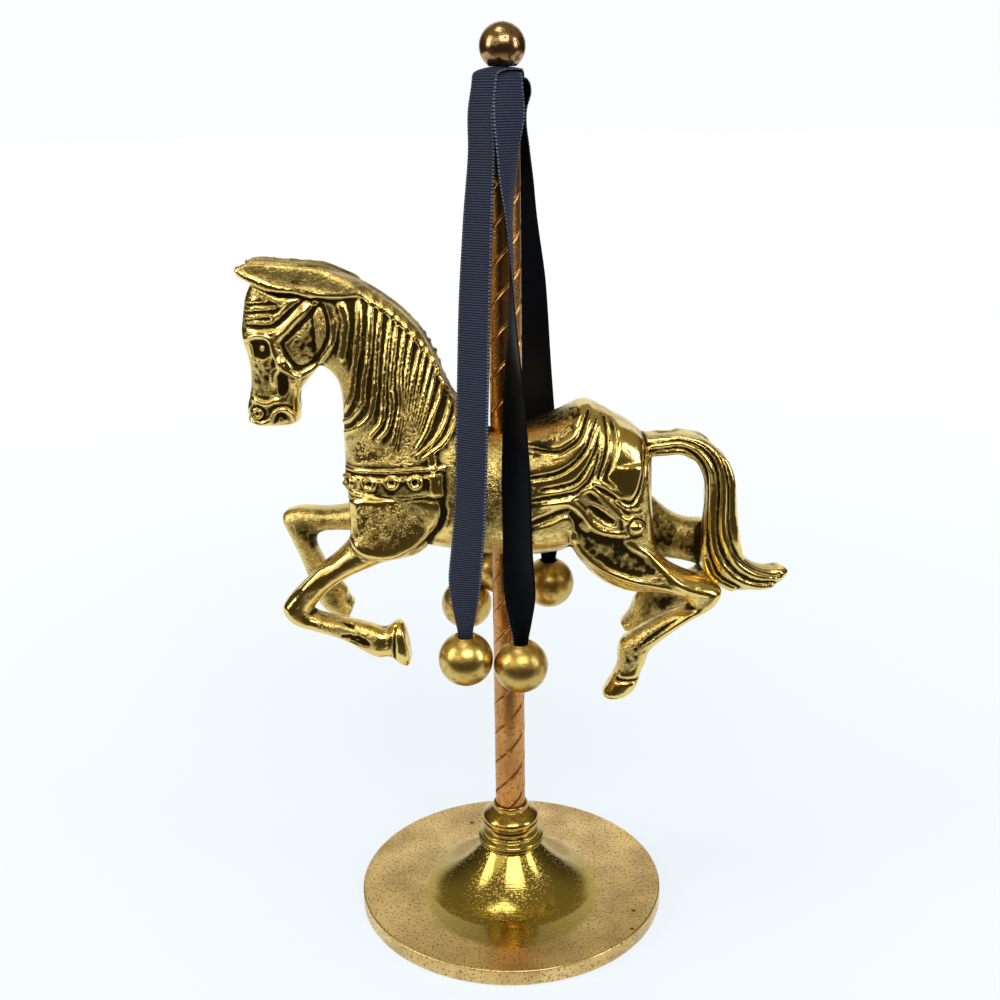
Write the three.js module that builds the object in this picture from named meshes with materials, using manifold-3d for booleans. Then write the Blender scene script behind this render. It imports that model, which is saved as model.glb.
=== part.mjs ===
// Carousel horse ornament: a cast brass jumper on a spiral-grooved pole, with
// a turned base and collar, a ball finial, and three ribbons crossed under the
// ball whose six tails each end in a bead. Millimetres, +Z up. The origin is
// the centre of the base's underside. The horse faces -X, its near side is -Y.
import * as THREE from "three";
import { mergeVertices } from "three/addons/utils/BufferGeometryUtils.js";
import Module from "manifold-3d";

const wasm = await Module();
wasm.setup();

// ---- driving dimensions ----
const GAP = 0.3; // clearance between pieces that touch
const POLE_DIAMETER = 9.525; // 3/8 in tube
const POLE_TOP = 256.5;
const GROOVE_STARTS = 3;
const GROOVE_LEAD = 31.2;
const GROOVE_DEPTH = 0.35;
const GROOVE_WIDTH = 0.8;
const BASE_DIAMETER = 97.6;
const BASE_RIM = 5.25;
const TRUMPET_FOOT = 39; // radius where the base starts to rise
const TRUMPET_NECK = 9.4;
const TRUMPET_TOP = 18.9;
const TRUMPET_CURVE = 2.2; // power of its concave rise
const FLANGE_RADIUS = 10.6;
const BASE_TOP = 23.9;
const COLLAR_RADIUS = 9.2;
const COLLAR_TOP = 33.7;
const FINIAL_DIAMETER = 12.8;
const FINIAL_CENTRE = 265.2;
const FINIAL_SEAT = 260; // the ball is cut flat where it bears on the ribbons
const BEAD_DIAMETER = 16.2;
const BEAD_HOLE = 5.6;
const BEAD_HOLE_DEPTH = 3.5;
const RIBBON_THICK = 0.6;
const RIBBON_GATHER = 4; // width where a tail enters its bead

// ---- finishes ----
const finish = (colour, metalness, roughness) =>
  new THREE.MeshStandardMaterial({ color: colour, metalness, roughness });
const AGED_BRASS = finish(0xb08a3c, 1, 0.3);
const POLE_BRASS = finish(0xb0762f, 1, 0.28);
const BASE_BRASS = finish(0xb29055, 1, 0.4);
const BEAD_BRASS = finish(0xc09a3e, 1, 0.35);
const NAVY_RIBBON = finish(0x14161f, 0, 0.7);

// ---- solids ----
// A closed skin over rings of equal length, with a point in each end. Sides
// listed in crossed are split along their other diagonal.
function skin(rings, crossed = []) {
  const count = rings[0].length;
  const points = rings.flat();
  const faces = [];
  const at = (ring, i) => ring * count + (i % count);
  for (let ring = 0; ring + 1 < rings.length; ring++) {
    for (let i = 0; i < count; i++) {
      const [a, b, c, d] = [at(ring, i), at(ring, i + 1), at(ring + 1, i + 1), at(ring + 1, i)];
      faces.push(...(crossed.includes(i) ? [a, b, c, a, c, d] : [a, b, d, b, c, d]));
    }
  }
  const last = rings.length - 1;
  const addEnd = (ring, forward) => {
    const centre = new THREE.Vector3();
    rings[ring].forEach((p) => centre.addScaledVector(p, 1 / count));
    points.push(centre);
    for (let i = 0; i < count; i++) {
      const pair = forward ? [at(ring, i), at(ring, i + 1)] : [at(ring, i + 1), at(ring, i)];
      faces.push(points.length - 1, ...pair);
    }
  };
  addEnd(0, false);
  addEnd(last, true);
  return outward(points, faces);
}

// Turns the faces outwards and makes the indexed geometry.
function outward(points, faces) {
  let volume = 0;
  for (let i = 0; i < faces.length; i += 3) {
    const [a, b, c] = [points[faces[i]], points[faces[i + 1]], points[faces[i + 2]]];
    volume += a.dot(b.clone().cross(c));
  }
  const index = volume < 0 ? faces.slice().reverse() : faces;
  const geometry = new THREE.BufferGeometry();
  geometry.setAttribute("position", new THREE.Float32BufferAttribute(points.flatMap((p) => p.toArray()), 3));
  geometry.setIndex(index);
  return geometry;
}

function toSolid(geometry) {
  const bare = geometry.clone();
  bare.deleteAttribute("normal");
  bare.deleteAttribute("uv");
  const merged = mergeVertices(bare, 1e-4);
  return new wasm.Manifold(new wasm.Mesh({
    numProp: 3,
    vertProperties: new Float32Array(merged.attributes.position.array),
    triVerts: new Uint32Array(merged.index.array),
  }));
}

function toGeometry(solid) {
  const mesh = solid.getMesh();
  const geometry = new THREE.BufferGeometry();
  geometry.setAttribute("position", new THREE.BufferAttribute(mesh.vertProperties, 3));
  geometry.setIndex(new THREE.BufferAttribute(mesh.triVerts, 1));
  return geometry;
}

const join = (solids) => solids.reduce((whole, next) => whole.add(next));

// A turned solid about the Z axis from [radius, height] points.
function turned(profile, segments) {
  const points = profile.map(([r, z]) => new THREE.Vector2(r, z));
  return new THREE.LatheGeometry(points, segments).rotateX(Math.PI / 2);
}

// ---- the stand ----
function baseGeometry() {
  const radius = BASE_DIAMETER / 2;
  const profile = [[0, 0], [radius - 1, 0], [radius, 1.4], [radius, BASE_RIM - 1.4], [radius - 1, BASE_RIM]];
  const steps = 5;
  for (let i = 0; i <= steps; i++) {
    const r = TRUMPET_FOOT + ((TRUMPET_NECK - TRUMPET_FOOT) * i) / steps;
    profile.push([r, BASE_RIM + (TRUMPET_TOP - BASE_RIM) * (i / steps) ** TRUMPET_CURVE]);
  }
  profile.push([FLANGE_RADIUS, 20], [FLANGE_RADIUS, 21.6], [FLANGE_RADIUS - 1, 23.2]);
  profile.push([8.2, BASE_TOP], [0, BASE_TOP]);
  return turned(profile, 30);
}

function collarGeometry() {
  const bore = POLE_DIAMETER / 2 + GAP;
  const foot = BASE_TOP + GAP;
  const profile = [[bore, foot], [7.8, foot], [8.3, 26.5], [COLLAR_RADIUS, 28.8], [COLLAR_RADIUS - 0.1, 29.7],
    [8, 31.3], [6.4, 32.2], [5.7, 32.3], [5.7, COLLAR_TOP], [bore, COLLAR_TOP], [bore, foot]];
  return turned(profile, 16);
}

// The pole's ring of points turns with its three engraved grooves.
function poleGeometry() {
  const radius = POLE_DIAMETER / 2;
  const half = GROOVE_WIDTH / 2 / radius; // half groove, in radians
  const sector = (2 * Math.PI) / GROOVE_STARTS;
  const landSteps = 3;
  const ringAt = (z, depth) => {
    const ring = [];
    const turn = (z / GROOVE_LEAD) * 2 * Math.PI;
    for (let start = 0; start < GROOVE_STARTS; start++) {
      const add = (angle, r) => {
        const a = turn + start * sector + angle;
        ring.push(new THREE.Vector3(r * Math.cos(a), r * Math.sin(a), z));
      };
      add(0, radius - depth);
      for (let i = 0; i <= landSteps; i++) {
        add(half + ((sector - 2 * half) * i) / landSteps, radius);
      }
    }
    return ring;
  };
  const bottom = BASE_TOP + GAP;
  const steps = 54;
  const rings = [];
  for (let i = 0; i <= steps; i++) {
    rings.push(ringAt(bottom + ((POLE_TOP - bottom) * i) / steps, GROOVE_DEPTH));
  }
  return skin(rings);
}

function finialGeometry() {
  const radius = FINIAL_DIAMETER / 2;
  const lowest = Math.asin((FINIAL_SEAT - FINIAL_CENTRE) / radius);
  const profile = [[0, FINIAL_SEAT]];
  const steps = 6;
  for (let i = 0; i < steps; i++) {
    const angle = lowest + ((Math.PI / 2 - lowest) * i) / steps;
    profile.push([radius * Math.cos(angle), FINIAL_CENTRE + radius * Math.sin(angle)]);
  }
  profile.push([0, FINIAL_CENTRE + radius]);
  return turned(profile, 14);
}

function beadGeometry() {
  const radius = BEAD_DIAMETER / 2;
  const hole = BEAD_HOLE / 2;
  const rim = Math.acos(hole / radius);
  const profile = [];
  const steps = 6;
  for (let i = 0; i <= steps; i++) {
    const angle = -Math.PI / 2 + ((rim + Math.PI / 2) * i) / steps;
    profile.push([radius * Math.cos(angle), radius * Math.sin(angle)]);
  }
  profile[0][0] = 0;
  profile.push([hole, radius * Math.sin(rim) - BEAD_HOLE_DEPTH], [0, radius * Math.sin(rim) - BEAD_HOLE_DEPTH]);
  return turned(profile, 12);
}

// ---- the ribbons ----
// Three ribbons cross on the pole's end, so each has two tails. A tail leaves
// the crossing toward an angle, then follows [z, x, y, width, turn] stations,
// where turn is the angle of its width across the plan, down to its bead.
const FIRST_LEVEL = POLE_TOP + 0.9;
const LEVEL_STEP = 1.1;
const RIBBONS = [
  {
    name: "ribbon_1", level: 2,
    tails: [
      {
        bead: [-12.9, -19.4, 93], toward: 230,
        route: [[249, -6.2, -6.6, 8.4, -38], [238, -6.2, -8.2, 8.6, -36], [225, -7.1, -10.6, 9, -34],
          [199, -8.6, -15, 9.6, -29], [171, -9.6, -19.6, 9.6, -27], [136, -11.1, -19.4, 9.6, -24]],
      },
      {
        bead: [7, 27.8, 131], toward: 76,
        route: [[249, 2.4, 10.4, 7, -6], [238, 2.6, 13.2, 8, 4], [225, 3.6, 15, 9, 14], [199, 5.2, 18.2, 9.6, 14],
          [172, 7, 22.4, 9.6, 14], [160, 7, 23, 9, 14]],
      },
    ],
  },
  {
    name: "ribbon_2", level: 1,
    tails: [
      {
        bead: [3.4, -19.4, 90.6], toward: 282,
        route: [[249, 1.7, -8.4, 8.8, 20], [239.5, 1.4, -9.6, 9, 46], [231, 1.3, -10.6, 9.2, 60],
          [222, 1.5, -12, 9.4, 76], [210, 1.9, -14, 9.6, 88], [198, 2.1, -16, 9.6, 97], [186, 2.3, -17.8, 9.6, 108],
          [172, 2.4, -19.4, 9.6, 126], [163, 2.5, -20, 9.6, 132], [148, 2.7, -20, 9.6, 143], [124, 3, -19.6, 9.6, 150]],
      },
      {
        bead: [-2.4, 19.4, 107], toward: 100,
        route: [[249, -1.2, 8.8, 7.2, 2], [238, -0.4, 11.1, 7.8, 10], [225, 0.2, 12.8, 8.8, 14],
          [199, 1.2, 15.9, 9.6, 14], [171, 1.6, 19.9, 9.6, 14], [150, 1, 19.6, 9.6, 14], [136, -1.2, 19.4, 9.6, 14]],
      },
    ],
  },
  {
    name: "ribbon_3", level: 0,
    tails: [
      {
        bead: [-13.4, 19.4, 95], toward: 146,
        route: [[249, -6.4, 4.2, 6.6, 56], [238, -6.8, 6.2, 7.2, 48], [225, -7.7, 9, 8.2, 42], [199, -8.9, 14.6, 9.4, 34],
          [171, -10, 19.4, 9.4, 34], [125, -12, 19.4, 9.4, 24]],
      },
      {
        bead: [13.2, 19.4, 102], toward: 37,
        route: [[249, 4.6, 3.9, 6.6, -50], [238, 4.2, 6.6, 7.4, -30], [225, 4.6, 9, 8.4, 4], [199, 7.4, 14, 9.6, 14],
          [171, 9.3, 18.8, 9.6, 14], [160, 10.1, 19.2, 9.6, 14], [128, 12.6, 19.4, 9.6, 14]],
      },
    ],
  },
];

// Centre, width and turn of a tail from the crossing to inside its bead.
function tailStations(tail, level) {
  const height = FIRST_LEVEL + level * LEVEL_STEP;
  const along = THREE.MathUtils.degToRad(tail.toward);
  const across = tail.route[0][4];
  const stations = [[1.5, 0], [4.4, -0.2], [6.1 + 0.75 * level, -1.6], [6.6 + 0.75 * level, -4]].map(
    ([reach, drop]) => [reach * Math.cos(along), reach * Math.sin(along), height + drop, 6.2, across]);
  tail.route.forEach(([z, x, y, width, turn]) => stations.push([x, y, z, width, turn]));
  const lastTurn = tail.route[tail.route.length - 1][4];
  const [x, y, z] = tail.bead;
  const mouth = z + Math.sqrt((BEAD_DIAMETER / 2) ** 2 - (BEAD_HOLE / 2) ** 2);
  const settle = 180 * Math.round(lastTurn / 180);
  stations.push([x, y, mouth + 14, 8.8, (lastTurn + settle) / 2]);
  stations.push([x, y, mouth + 6, 6, settle], [x, y, mouth, RIBBON_GATHER, settle]);
  stations.push([x, y, mouth - BEAD_HOLE_DEPTH + GAP, RIBBON_GATHER, settle]);
  return stations;
}

function ribbonGeometry(ribbon) {
  const [one, other] = ribbon.tails.map((tail) => tailStations(tail, ribbon.level));
  const route = [...one.reverse(), ...other];
  const centres = route.map(([x, y, z]) => new THREE.Vector3(x, y, z));
  const rings = route.map(([, , , width, turn], i) => {
    const before = centres[Math.max(i - 1, 0)];
    const after = centres[Math.min(i + 1, centres.length - 1)];
    const angle = THREE.MathUtils.degToRad(turn);
    const across = new THREE.Vector3(Math.cos(angle), Math.sin(angle), 0);
    const out = across.clone().cross(after.clone().sub(before)).normalize();
    const corners = [[-1, -1], [1, -1], [1, 1], [-1, 1]];
    return corners.map(([u, v]) => centres[i].clone()
      .addScaledVector(across, (u * width) / 2)
      .addScaledVector(out, (v * RIBBON_THICK) / 2));
  });
  return skin(rings, [2]); // both faces bend along the same diagonals
}

// ---- the horse ----
// Its masses are lofts across the side view. A station is
// [x, z of one edge, x, z of the other edge, half thickness, centre y].
const TRUNK = [
  [-47.2, 147, -47, 139, 7, 0], [-43, 156, -43, 130.5, 11.5, 0], [-34, 163, -34, 126.5, 14.5, 0],
  [-24, 166, -24, 123.6, 15.6, 0], [-14, 164, -14, 121.8, 16, 0], [-5, 158.2, -5, 120.6, 16, 0],
  [6, 159.8, 6, 120.2, 16.4, 0], [15, 163.4, 14, 121, 16.8, 0], [22.5, 166.8, 20, 123, 16.8, 0],
  [27.5, 165, 26, 125, 16.2, 0], [34, 161, 32, 127, 15, 0], [39.4, 157.4, 38, 129, 12.6, 0],
  [42.4, 153, 42.6, 134, 8.5, 0],
];
const NECK = [
  [-53.8, 178.4, -54, 205.8, 7.4, 0], [-50, 175.6, -46.5, 204.6, 8, 0], [-48.2, 171, -38.5, 200.6, 8.6, 0],
  [-47.9, 165, -31.5, 195.4, 9.4, 0], [-47.9, 158, -25.2, 188.8, 10.6, 0], [-48, 151, -20.6, 180.6, 12, 0],
  [-48, 143.6, -16.2, 171.2, 13.4, 0], [-45.6, 134, -8, 161.5, 14.6, 0], [-38, 128, 0, 152, 12, 0],
];
const HEAD = [
  [-70, 205.4, -52, 206, 6.4, 0], [-73.6, 200.4, -51, 199, 7.4, 0], [-75.4, 193, -50.2, 191, 8, 0],
  [-76, 186.6, -51, 184.4, 8, 0], [-74.5, 180.6, -54.4, 177.6, 7.4, 0], [-74.2, 175, -57.6, 174, 6.4, 0],
  [-74.8, 170.4, -60.4, 169.6, 5.8, 0], [-76, 165.6, -60.4, 165, 5.8, 0], [-74.8, 162, -60.6, 162.2, 5, 0],
  [-72.4, 160.6, -62.4, 160.8, 3.4, 0],
];
const EAR = [
  [-42, 202.6, -42, 199, 2, 5.2], [-51, 206.2, -51, 199.6, 2.8, 5.6], [-58, 207.2, -57, 199.8, 3, 5.8],
  [-66, 207.9, -65, 201.2, 3, 6.2], [-72, 208.2, -71.2, 203.2, 2.6, 6.6], [-75.4, 206.8, -75, 204.8, 1.3, 6.8],
];
const NEAR_FORELEG = [
  [-46.4, 143, -18, 139, 8, -7], [-46.2, 129.8, -24, 124.8, 8.4, -8], [-50.2, 124.2, -35.5, 121.4, 7, -9],
  [-55.2, 120, -44, 118, 6.2, -9.4], [-60.2, 115.4, -51, 114.2, 5.8, -9.6],
  [-65, 110.8, -56.4, 108.8, 5.4, -9.6], [-67.8, 106, -58.4, 105.8, 5.2, -9.6],
  [-64.6, 101.4, -57.6, 104.4, 5, -9.6], [-58.8, 99.2, -53, 103, 4.6, -9.6], [-50, 95.8, -47, 101.8, 4.2, -9.4],
  [-43.6, 91.6, -41.6, 100.4, 4.2, -9.2], [-40, 89.8, -38.2, 99, 4.4, -9.2],
  [-36.2, 89.8, -36.4, 99.2, 4.4, -9], [-34.2, 88.2, -33.8, 101.2, 5, -9], [-30.8, 86.6, -31.8, 100.4, 5, -9],
  [-29.6, 89, -30.8, 96.8, 4, -9],
];
const FAR_FORELEG = [
  [-22, 142, -22, 126, 7, 7], [-38, 138, -38, 124.4, 7, 7.4], [-47, 133.4, -47.4, 125, 6, 8],
  [-55.6, 132, -55.2, 125, 5.4, 8.4], [-64.4, 132.4, -58.6, 123.4, 5.2, 8.6], [-69.4, 129.4, -59.2, 120.6, 5, 8.6],
  [-67, 122.6, -58.4, 118, 4.8, 8.6], [-64.4, 115.6, -56.8, 114.6, 4.4, 8.6], [-62.4, 109.4, -55, 110.4, 4.2, 8.4],
  [-60.6, 103.6, -52.2, 107.6, 4.4, 8.4], [-58, 99, -50.2, 105.2, 4.4, 8.2], [-54.4, 96.4, -49.6, 102.2, 4.8, 8.2],
  [-51, 94.4, -48, 101, 4.4, 8.2],
];
const NEAR_HIND = [
  [14, 150, 41.4, 150, 8, -7.6], [15, 134, 43, 133, 8.6, -8.2], [19, 124, 44, 124.6, 8.4, -8.4],
  [26, 115.4, 47, 119.8, 7.8, -8.8], [34.4, 111.2, 51.6, 116.8, 7, -9], [44, 110.6, 57, 114.6, 6.2, -9.2],
  [50.4, 109, 62, 111.8, 5.6, -9.4], [54.4, 105.4, 64, 109.6, 5.2, -9.4], [53.2, 104.2, 61.2, 105, 4.8, -9.4],
  [49.6, 103.4, 55.8, 101.4, 4.4, -9.4], [43.6, 100.6, 50, 97.3, 4.2, -9.4], [38.2, 97.2, 44.8, 92.9, 4.2, -9.2],
  [34, 94.4, 42.6, 90.2, 4.4, -9.2], [33, 89.8, 41.6, 86.8, 4.4, -9], [33, 86, 40.4, 84, 4.6, -9],
  [31, 81.4, 39.6, 80.8, 5, -9], [28.4, 76.8, 38.2, 78, 5, -9], [29.4, 75.4, 36.2, 76.2, 4.2, -9],
];
const FAR_HIND = [
  [18, 146, 40, 150, 8, 7.6], [20, 128, 43, 137, 8.4, 8], [31, 117.4, 46.4, 132.6, 7.6, 8.4],
  [42, 115, 51, 128.8, 6.6, 8.8], [50, 114.2, 56, 126.8, 6, 9], [57.4, 112.4, 62.4, 126, 5.4, 9.2],
  [59.6, 111, 68, 120, 5, 9.2], [57.6, 109.6, 65, 107, 4.6, 9.2], [52, 108, 59.4, 99.8, 4.4, 9],
  [44, 105, 52.4, 95.4, 4.6, 9], [40.2, 101.8, 46.2, 92.6, 4.6, 8.8], [38.2, 95.8, 42, 89.6, 4.8, 8.8],
  [35.4, 92.4, 37.2, 90, 4, 8.8],
];
const TAIL = [
  [37, 157, 40, 149, 5, 0], [46, 156, 47.4, 150.6, 5.6, 0], [53.6, 156.6, 52.8, 150.4, 6, 0],
  [59.6, 154, 55.8, 148.4, 6.2, 0], [64.3, 149.6, 58, 144.6, 6.4, 0], [66.9, 144.6, 59.4, 140.6, 6.4, 0],
  [68, 138.6, 59.6, 136, 6.4, 0], [68.9, 131, 59.2, 130.4, 6.6, 0], [69.6, 124.6, 58.8, 123, 6.8, 0],
  [70.8, 119.6, 58.8, 117.6, 6.8, 0], [73.2, 116, 59.8, 112.4, 6.6, 0], [77, 114.2, 66.4, 107.6, 6, 0],
  [81, 113.8, 74.6, 107, 5.2, 0], [84, 113.8, 81.2, 108.2, 4, 0], [85.9, 112.6, 84.4, 110.6, 2, 0],
];

// Rings of a loft: superellipses, squarer than an ellipse when power > 2.
function loft(stations, sides, power, side = 1) {
  const bend = (value) => Math.sign(value) * Math.abs(value) ** (2 / power);
  return skin(stations.map(([xa, za, xb, zb, half, y]) => {
    const middle = new THREE.Vector3((xa + xb) / 2, side * y, (za + zb) / 2);
    const reach = new THREE.Vector3(xa - middle.x, 0, za - middle.z);
    return Array.from({ length: sides }, (_, i) => {
      const angle = (2 * Math.PI * (i + 0.5)) / sides;
      return middle.clone().addScaledVector(reach, bend(Math.cos(angle)))
        .setY(side * y + half * bend(Math.sin(angle)));
    });
  }));
}

// ---- the horse's carving ----
// Curves and points are [x, z] in the side view, and the far side is the same.
const ROOT = 1.2; // how deep a raised part reaches under the surface
const MANE_LOCKS = 7;
const CREST = [[-47, 200], [-40, 198.6], [-32.4, 192.4], [-25, 181.5], [-19, 169]]; // where the locks start
const LOCK_ENDS = [[-47, 182], [-46.6, 165], [-46.4, 160], [-38, 160.4], [-31, 160], [-30, 153], [-26, 154]];
const CLOTH_FOLDS = 4;
const CLOTH_RIM = [[23, 168], [21.6, 161.5], [17.6, 156.4], [13, 155], [6.4, 155.2]]; // round the seat
const CLOTH_HEM = [[31.4, 160.6], [32.2, 154], [28.6, 147.4], [21, 143.6], [7, 141]];
const BREAST_STUDS = [[-46, 145.4], [-39.8, 145.7], [-33.2, 146.5], [-26.4, 146.8]];
const RAISED_STRIPS = [ // [points, width, height, steps, flat share]
  [[[-46.6, 145.2], [-34, 146], [-18, 147]], 6.6, 0.8, 3, 0.8], // breast band
  [[[-21.6, 156], [-21, 148], [-20.6, 141]], 2.4, 1, 2, 0.4], // girth
  [[[20.6, 143.4], [24.6, 143.6], [30, 138.6], [36, 132.6]], 2.8, 1, 3, 0.4], // breeching, upper and lower
  [[[8, 140], [18.8, 140], [26, 131.8], [36, 131.4]], 2.4, 1, 3, 0.4],
  [[[-49.6, 190], [-51, 184], [-56.4, 179.4], [-63, 180.6]], 2, 0.9, 3, 0.3], // jowl
  [[[-57.6, 199], [-61, 194.6], [-67, 190.6], [-73, 191]], 2.4, 0.8, 3, 0.4], // bridle
  [[[-73.8, 187.6], [-70.4, 189], [-66.8, 186]], 1.8, 0.9, 2, 0.3], // brow
];
const BOSSES = [ // [centre, radius, height]
  [[37, 132.2], 2.6, 1.8], [[-70.4, 184.4], 1.5, 1], [[-72.8, 165.8], 1.7, 0.9], // buckle, eye, nostril
  ...BREAST_STUDS.map((stud) => [stud, 1.8, 1.8]),
];

// How far the body's surface stands from the middle plane at [x, z].
function makeSounding(body) {
  const mesh = new THREE.Mesh(toGeometry(body), new THREE.MeshBasicMaterial({ side: THREE.DoubleSide }));
  const reach = 60;
  return (x, z, side) => {
    const ray = new THREE.Raycaster(new THREE.Vector3(x, side * reach, z), new THREE.Vector3(0, -side, 0));
    const [hit] = ray.intersectObject(mesh);
    return hit ? reach - hit.distance : 0;
  };
}

const curveOf = (points) => new THREE.CatmullRomCurve3(points.map(([x, z]) => new THREE.Vector3(x, 0, z)));

// A raised strip along a curve, tapering at both ends. The crown is the share
// of its width that is flat.
function strip(sound, side, [points, width, height, steps, crown]) {
  const curve = curveOf(points);
  const section = [[-1, -ROOT], [-crown, 1], [crown, 1], [1, -ROOT]];
  const rings = [];
  for (let i = 0; i <= steps; i++) {
    const t = i / steps;
    const taper = Math.min(1, 0.5 + 2 * Math.min(t, 1 - t));
    const along = curve.getTangent(t);
    const across = new THREE.Vector3(-along.z, 0, along.x);
    rings.push(section.map(([u, v]) => {
      const corner = curve.getPoint(t).addScaledVector(across, (u * width * taper) / 2);
      const lift = v > 0 ? v * height * taper : v;
      return corner.setY(side * (sound(corner.x, corner.z, side) + lift));
    }));
  }
  return skin(rings);
}

// A round boss, half of it above the surface.
function boss(sound, side, [[x, z], radius, height]) {
  return new THREE.SphereGeometry(1, 6, 3).scale(radius, height, radius)
    .translate(x, side * sound(x, z, side), z);
}

// Side-by-side folds: every second row stands high. pointAt gives the place
// of a row's share across the folds and a step's share along them.
function folds(sound, side, count, steps, height, pointAt) {
  const rings = [];
  for (let row = 0; row <= 2 * count; row++) {
    const outer = [];
    const inner = [];
    for (let i = 0; i <= steps; i++) {
      const place = pointAt(row / (2 * count), i / steps);
      const surface = sound(place.x, place.z, side);
      const lift = row % 2 === 1 && i > 0 && i < steps ? height : 0.1;
      const edge = row === 0 || row === 2 * count || i === 0 || i === steps;
      outer.push(place.clone().setY(side * (surface + (edge ? -0.2 : lift))));
      inner.unshift(place.clone().setY(side * (surface - ROOT)));
    }
    rings.push([...outer, ...inner]);
  }
  return skin(rings);
}

function manePlace() {
  const crest = curveOf(CREST);
  const ends = curveOf(LOCK_ENDS);
  const sag = 2.2; // the locks bow backwards
  return (across, along) => crest.getPoint(across).lerp(ends.getPoint(across), along)
    .add(new THREE.Vector3(sag * Math.sin(Math.PI * along), 0, 0));
}

function clothPlace() {
  const rim = curveOf(CLOTH_RIM);
  const hem = curveOf(CLOTH_HEM);
  return (across, along) => rim.getPoint(along).lerp(hem.getPoint(along), across);
}

function carvingOn(sound, side) {
  return [
    folds(sound, side, MANE_LOCKS, 3, 1.1, manePlace()),
    folds(sound, side, CLOTH_FOLDS, 4, 1.1, clothPlace()),
    ...RAISED_STRIPS.map((line) => strip(sound, side, line)),
    ...BOSSES.map((knob) => boss(sound, side, knob)),
  ];
}

// The tail's ring of points is fluted into strands on both sides.
function tailGeometry() {
  const section = [[-1, 0.35], [-0.75, 0.95], [-0.45, 0.72], [-0.15, 1.05], [0.15, 0.78], [0.48, 1], [0.85, 0.6]];
  const both = [...section, ...section.map(([u, v]) => [u, -v]).reverse()];
  return skin(TAIL.map(([xa, za, xb, zb, half]) => both.map(([u, v]) => new THREE.Vector3(
    (xa + xb) / 2 + ((xb - xa) * u) / 2, half * v, (za + zb) / 2 + ((zb - za) * u) / 2))));
}

function horseGeometry() {
  const masses = [
    loft(TRUNK, 12, 2.5), loft(NECK, 10, 3), loft(HEAD, 10, 2.6), loft(EAR, 6, 2.6, 1), loft(EAR, 6, 2.6, -1),
    loft(NEAR_FORELEG, 8, 2.8), loft(FAR_FORELEG, 8, 2.8), loft(NEAR_HIND, 8, 2.8), loft(FAR_HIND, 8, 2.8),
    tailGeometry(),
  ];
  const body = join(masses.map(toSolid));
  const sound = makeSounding(body);
  const carving = [-1, 1].flatMap((side) => carvingOn(sound, side));
  const bore = new THREE.CylinderGeometry(POLE_DIAMETER / 2 + GAP, POLE_DIAMETER / 2 + GAP, 80, 16)
    .rotateX(Math.PI / 2).translate(0, 0, 140);
  return toGeometry(join([body, ...carving.map(toSolid)]).subtract(toSolid(bore)));
}

// ---- the assembly ----
const part = new THREE.Group();

function place(name, geometry, material, [x, y, z] = [0, 0, 0]) {
  const mesh = new THREE.Mesh(geometry, material);
  mesh.name = name;
  mesh.position.set(x, y, z);
  part.add(mesh);
}

place("base", baseGeometry(), BASE_BRASS);
place("collar", collarGeometry(), AGED_BRASS);
place("pole", poleGeometry(), POLE_BRASS);
place("horse", horseGeometry(), AGED_BRASS);
place("finial", finialGeometry(), AGED_BRASS);
let beadNumber = 0;
RIBBONS.forEach((ribbon) => {
  place(ribbon.name, ribbonGeometry(ribbon), NAVY_RIBBON);
  for (const { bead } of ribbon.tails) {
    beadNumber += 1;
    place(`bead_${beadNumber}`, beadGeometry(), BEAD_BRASS, bead);
  }
});

export default part;
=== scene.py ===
"""Carousel horse ornament: a cast brass jumper on a spiral-grooved pole.

A turned brass foot and collar carry the pole. Three grosgrain ribbons cross
under the ball finial, and each of their six tails ends in a brass bead.
"""

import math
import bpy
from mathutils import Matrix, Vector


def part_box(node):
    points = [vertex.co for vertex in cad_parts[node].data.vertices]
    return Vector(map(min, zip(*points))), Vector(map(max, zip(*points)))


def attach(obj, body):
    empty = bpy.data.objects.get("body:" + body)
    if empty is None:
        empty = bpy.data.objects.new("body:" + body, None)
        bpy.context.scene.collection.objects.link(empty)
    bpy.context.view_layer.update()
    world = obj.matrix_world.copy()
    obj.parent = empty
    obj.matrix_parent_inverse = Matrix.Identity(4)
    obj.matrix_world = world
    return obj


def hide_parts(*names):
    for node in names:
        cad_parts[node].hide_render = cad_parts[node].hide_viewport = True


bl_info = {
    "name": "Carousel Horse Ornament",
    "version": (1, 0, 0),
    "blender": (4, 5, 0),
    "location": "3D View > Sidebar > Ornament",
    "description": "Builds a brass carousel horse on its stand, with ribbons and beads",
    "category": "Add Mesh",
}

from functools import partial

import bmesh
import bpy
import numpy as np
from bpy.props import FloatProperty, FloatVectorProperty, IntProperty
from mathutils import Matrix, Vector
from mathutils import noise as noise_at

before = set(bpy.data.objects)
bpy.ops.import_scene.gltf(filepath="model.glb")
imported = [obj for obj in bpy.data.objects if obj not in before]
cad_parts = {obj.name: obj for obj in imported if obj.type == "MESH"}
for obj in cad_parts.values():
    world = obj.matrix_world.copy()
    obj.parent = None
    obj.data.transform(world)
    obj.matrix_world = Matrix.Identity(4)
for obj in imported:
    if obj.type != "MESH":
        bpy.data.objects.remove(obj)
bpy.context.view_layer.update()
MM = 0.001
RIM = 5.25 * MM  # height of the foot's flat top


def srgb(text):
    """A hex colour such as "c79a3b" as linear RGBA."""
    parts = [int(text[i : i + 2], 16) / 255 for i in (0, 2, 4)]
    return tuple(c / 12.92 if c <= 0.04045 else ((c + 0.055) / 1.055) ** 2.4 for c in parts) + (1.0,)


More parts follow.
